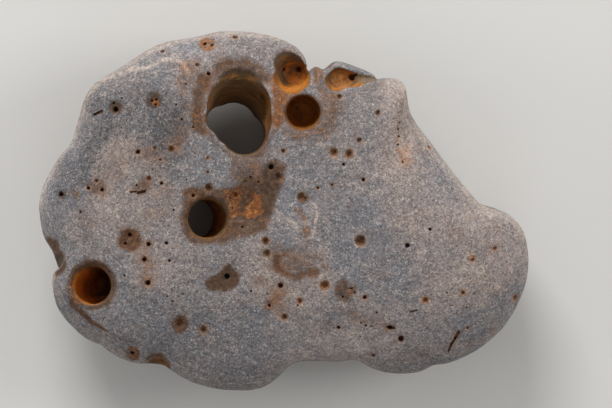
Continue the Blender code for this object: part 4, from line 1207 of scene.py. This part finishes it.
class Paint:
    """A material under construction."""

    def __init__(self, name):
        self.material = bpy.data.materials.new(name)
        self.material.use_nodes = True
        self.tree = self.material.node_tree
        self.tree.nodes.clear()

    def node(self, kind, settings=None, sockets=None, output=0):
        """Adds any node: its settings first, then the values or links of its sockets."""
        made = self.tree.nodes.new(kind)
        for name, setting in (settings or {}).items():
            setattr(made, name, setting)
        for key, value in (sockets or {}).items():
            if isinstance(value, Value):
                self.tree.links.new(value.socket, made.inputs[key])
            else:
                made.inputs[key].default_value = value
        return Value(self, made.outputs[output]) if made.outputs else made

    def math(self, operation, first, second):
        return self.node("ShaderNodeMath", {"operation": operation}, {0: first, 1: second})

    def vector(self, operation, first, **second):
        """Vector maths: ADD takes a vector called by, and SCALE a number called size."""
        sockets = {0: first, **({1: second["by"]} if "by" in second else {"Scale": second["size"]})}
        return self.node("ShaderNodeVectorMath", {"operation": operation}, sockets)

    def step(self, low, high, value):
        """Rises smoothly from 0 at low to 1 at high."""
        sockets = {"Value": value, "From Min": low, "From Max": high}
        return self.node("ShaderNodeMapRange", {"interpolation_type": "SMOOTHSTEP"}, sockets)

    def colour(self, share, first, second, blend="MIX"):
        settings = {"data_type": "RGBA", "blend_type": blend, "clamp_factor": True}
        return self.node("ShaderNodeMix", settings, {0: share, 6: first, 7: second}, output=2)

    def lit(self, colour, lighter):
        """The colour made lighter by that share, or darker where the share is less than nothing."""
        level = self.node("ShaderNodeCombineXYZ", {}, {axis: lighter + 1.0 for axis in "XYZ"})
        return self.colour(1.0, colour, level, "MULTIPLY")

    def mark(self, name):
        return self.node("ShaderNodeAttribute", {"attribute_name": name}, output="Fac")

    def noise(self, place, size, detail=0.0, roughness=0.5):
        """Noise whose lumps are about that size in millimetres, from 0 to 1 and mostly near a half."""
        sockets = {"Vector": place, "Scale": 1 / size, "Detail": detail, "Roughness": roughness}
        return self.node("ShaderNodeTexNoise", {}, sockets, output="Fac")

    def grains(self, place, size):
        """Three even random numbers for each grain of that size."""
        sockets = {"Vector": place, "Scale": 1 / size}
        cells = self.node("ShaderNodeTexVoronoi", {}, sockets, output="Color")
        parts = ("Red", "Green", "Blue")
        return [self.node("ShaderNodeSeparateColor", {}, {0: cells}, part) for part in parts]

    def finish(self, sockets):
        shader = self.node("ShaderNodeBsdfPrincipled", {}, sockets)
        self.node("ShaderNodeOutputMaterial", {}, {"Surface": shader})
        return self.material


def tone(red, green, blue):
    """The colour of paint that looks like these sRGB levels in plain light."""
    levels = [level / 255 for level in (red, green, blue)]
    linear = [level / 12.92 if level < 0.04045 else ((level + 0.055) / 1.055) ** 2.4 for level in levels]
    return (*linear, 1.0)


COOL_GREY = tone(113, 112, 116)
WARM_GREY = tone(147, 134, 128)
PINK_GREY = tone(132, 116, 111)
PALE_GRAIN = tone(196, 188, 180)
DARK_GRAIN = tone(62, 55, 52)
TAN_GRAIN = tone(150, 120, 98)
# pale of worn stone and pale lines, also the painted highlight of the shoulders
PALE_WEAR_AND_HIGHLIGHT = tone(184, 169, 156)
FILM_BROWN = (0.50, 0.30, 0.18, 1.0)
FILM_RUST = (0.86, 0.50, 0.27, 1.0)
DARK_BROWN = tone(60, 42, 30)
UMBER = tone(92, 68, 48)
RUST = tone(118, 66, 28)
OCHRE = tone(182, 118, 56)
DARK_WALL = tone(62, 44, 28)
BOWL_BROWN = tone(112, 94, 80)
OLIVE_WALL = tone(124, 98, 66)
AMBER_WALL = tone(188, 118, 44)
# painted shade inside pits and pores
PAINTED_HOLE_SHADE = tone(24, 15, 10)
PIT_BROWN = tone(92, 50, 30)
FLOOR_PALE = tone(214, 212, 208)


class StonePaint(Paint):
    """The stone's finish, laid on in coats. A swing is a noise less its middle value, a half."""

    def __init__(self):
        super().__init__("sea_worn_flint")
        place = self.vector("SCALE", self.node("ShaderNodeTexCoord", output="Object"), size=1 / MM)
        self.place = place
        self.wall, self.depth, self.pit = (self.mark(name) for name in ("wall", "depth", "pit"))
        self.stain, self.rust, self.warmth = (self.mark(name) for name in ("stain", "rust", "warmth"))
        self.pale, self.shade, self.lay = (self.mark(name) for name in ("pale", "shade", "lay"))
        self.grain = self.noise(place, FINE, 3.0, 0.65)
        self.grit, self.kind, self.speck = self.grains(place, GRIT)
        elsewhere = self.vector("ADD", place, by=GRIT_SHIFT)
        self.coarse_grit, self.coarse_kind, _ = self.grains(elsewhere, 2 * GRIT)
        layers = self.node("ShaderNodeCombineXYZ", {}, {"Z": self.lay * 1.5})
        layered = self.vector("ADD", self.vector("SCALE", place, size=0.22), by=layers)
        self.streak = self.noise(layered, 1.0, 3.0, 0.6)
        self.broad = self.noise(place, 14.0, 2.0)
        self.blotch_swing = self.noise(place, 4.0, 3.0, 0.6) - 0.5
        self.grain_swing = self.grain - 0.5
        self.grit_swing = self.grit - 0.5
        self.streak_swing = self.streak - 0.5

    def bare_stone(self):
        """Cool grey to warm, made of pale, dark and tan grains, with pale streaks, worn places, painted
        highlight on the shoulders and painted light and shade along some rims.
        """
        warm = self.warmth + (self.broad - 0.5) * 0.7 + self.blotch_swing * 0.45 + self.grain_swing * 0.45
        warm = self.step(0.05, 0.8, warm)
        pink = self.step(0.48, 0.72, self.noise(self.place, 6.0, 3.0, 0.6)) * 0.5
        tan = self.step(0.78, 0.95, self.speck + self.blotch_swing * 0.4) * (0.15 + warm * 0.25)
        coats = (
            (pink, PINK_GREY),
            (self.step(0.80, 1.0, self.kind) * 0.45, PALE_GRAIN),
            (self.step(0.16, 0.0, self.kind) * 0.5, DARK_GRAIN),
            (tan, TAN_GRAIN),
            (self.step(0.88, 1.0, self.coarse_kind) * 0.16, PALE_GRAIN),
            (self.step(0.14, 0.0, self.coarse_kind) * 0.25, DARK_GRAIN),
            (self.step(0.5, 0.78, self.streak + self.grit_swing * 0.15) * 0.35, PALE_WEAR_AND_HIGHLIGHT),
            # pale of worn rims and lines, and painted highlight on the shoulders that face the lights
            (self.step(0.1, 0.9, self.pale + self.grain_swing * 0.7) * 0.8, PALE_WEAR_AND_HIGHLIGHT),
        )
        bare = self.colour(warm, COOL_GREY, WARM_GREY)
        for share, coat in coats:
            bare = self.colour(share, bare, coat)
        light = self.grit_swing * 0.6 + (self.coarse_grit - 0.5) * 0.1
        light = light + self.grain_swing * 0.7 + self.blotch_swing * 0.45
        # lighter and darker patches of stone, and painted light and shade along some rims
        return self.lit(bare, light + self.shade)

    def stained(self, bare):
        """A film of iron over the stone, and a crust where it is strong: the colour, and the crust's share."""
        crumbs = self.grain_swing * 0.8 + self.grit_swing * 0.12
        crumbs = crumbs + self.blotch_swing * 0.9 + self.streak_swing * 0.5
        hue = self.step(0.1, 0.9, self.rust + self.blotch_swing * 0.5 + self.grain_swing * 0.3)
        film = self.step(0.0, 0.85, self.stain + crumbs * 0.6 * self.step(0.02, 0.3, self.stain))
        tinted = self.colour(1.0, bare, self.colour(hue, FILM_BROWN, FILM_RUST), "MULTIPLY")
        brown_light = self.step(0.35, 0.68, self.grain + self.streak_swing * 0.4)
        rust_light = self.step(0.44, 0.76, self.grain + self.grit_swing * 0.1)
        brown = self.colour(brown_light, DARK_BROWN, UMBER)
        rusty = self.colour(rust_light, RUST, OCHRE)
        coat = self.lit(self.colour(hue, brown, rusty), self.grit_swing * 0.4)
        crust = self.step(0.62, 1.0, self.stain + crumbs * 0.4) * 0.92
        return self.colour(crust, self.colour(film, bare, tinted), coat), crust

    def bored(self, surface):
        """The lining of the bores, with painted light that makes it brighter further in, and the pits, with
        painted shade in them.
        """
        amber = self.step(0.15, 0.85, self.rust + self.streak_swing * 0.9)
        lining = self.colour(amber, OLIVE_WALL, AMBER_WALL)
        coats = (
            (self.step(-0.1, -0.3, self.rust + self.streak_swing * 0.4), BOWL_BROWN),
            (self.step(-0.4, -0.6, self.rust), DARK_WALL),
            (self.step(0.62, 0.3, self.streak + self.grain_swing * 0.5) * 0.6, DARK_WALL),
        )
        for share, coat in coats:
            lining = self.colour(share, lining, coat)
        # painted light: the lining darker at the mouth and brighter further in, with the wall bands' painted
        # light and shade
        lining = self.lit(self.lit(lining, self.depth * 1.7 - 0.42 + self.grit_swing * 0.3), self.shade)
        surface = self.colour(self.step(0.2, 0.8, self.wall + self.grain_swing * 0.5), surface, lining)
        # pits: painted shade, turning rusty brown where the rust mark is high
        pit_colour = self.colour(self.rust * 1.2, PAINTED_HOLE_SHADE, PIT_BROWN)
        return self.colour(self.step(0.2, 0.85, self.pit), surface, pit_colour)

    def pores(self):
        """How much each place is in one of the pores, which come in swarms."""
        sockets = {"Vector": self.place, "Scale": 1 / PORE_SPACING}
        gap = self.node("ShaderNodeTexVoronoi", {}, sockets, output="Distance")
        swarm = self.step(0.45, 0.55, self.broad + self.blotch_swing * 0.5)
        return self.step(0.10, 0.05, gap) * swarm


def stone_paint():
    paint = StonePaint()
    surface, crust = paint.stained(paint.bare_stone())
    pore = paint.pores()
    # painted shade in the pores
    surface = paint.colour(pore * 0.85, paint.bored(surface), PAINTED_HOLE_SHADE)
    height = paint.grain_swing * 0.22 + paint.grit_swing * 0.05 + paint.streak_swing * 0.14 - pore * 0.15
    bump = paint.node("ShaderNodeBump", {}, {"Height": height * MM, "Distance": 1.0, "Strength": 1.0})
    roughness = 0.84 - paint.wall * 0.2 - crust * 0.05 + paint.grit_swing * 0.1
    return paint.finish({
        "Base Color": surface,
        "Roughness": roughness,
        "Normal": bump,
        "Specular IOR Level": 0.35,
    })


# Floor, light and camera

def pale_floor():
    bpy.ops.mesh.primitive_plane_add(size=FLOOR_SIDE)
    floor = bpy.context.object
    floor.name = "floor"
    floor.data.materials.append(Paint("pale_floor").finish({"Base Color": FLOOR_PALE, "Roughness": 0.9}))
    return floor


def soft_light(name, place, side, power):
    light = bpy.data.lights.new(name, "AREA")
    light.shape = "SQUARE"
    light.size = side
    light.energy = power
    lamp = new_object(name, light)
    lamp.location = place
    lamp.visible_camera = False
    lamp.rotation_euler = (Vector(LIGHT_AIM) - Vector(place)).to_track_quat("-Z", "Y").to_euler()


def studio():
    """A wide soft light from behind the high back, weaker ones from both ends, a faint one in front."""
    for lamp in STUDIO_LIGHTS:
        soft_light(*lamp)
    world = bpy.data.worlds.new("studio")
    bpy.context.scene.world = world
    world.use_nodes = True
    world.node_tree.nodes["Background"].inputs["Color"].default_value = SKY
    bpy.context.scene.view_settings.view_transform = "Standard"


def overhead_camera():
    camera = bpy.data.cameras.new("overhead")
    camera.lens = CAMERA_LENS
    camera.sensor_width = SENSOR
    camera.clip_end = 10.0
    stand = new_object("overhead", camera)
    stand.location = (*FRAME_CENTRE, EQUATOR * MM + CAMERA_LENS / SENSOR * FRAME_WIDTH)
    bpy.context.scene.camera = stand


stone = flint_nodule()
stone.data.materials.clear()
stone.data.materials.append(stone_paint())
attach(stone, "root")
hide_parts("nodule")
pale_floor()
studio()
overhead_camera()
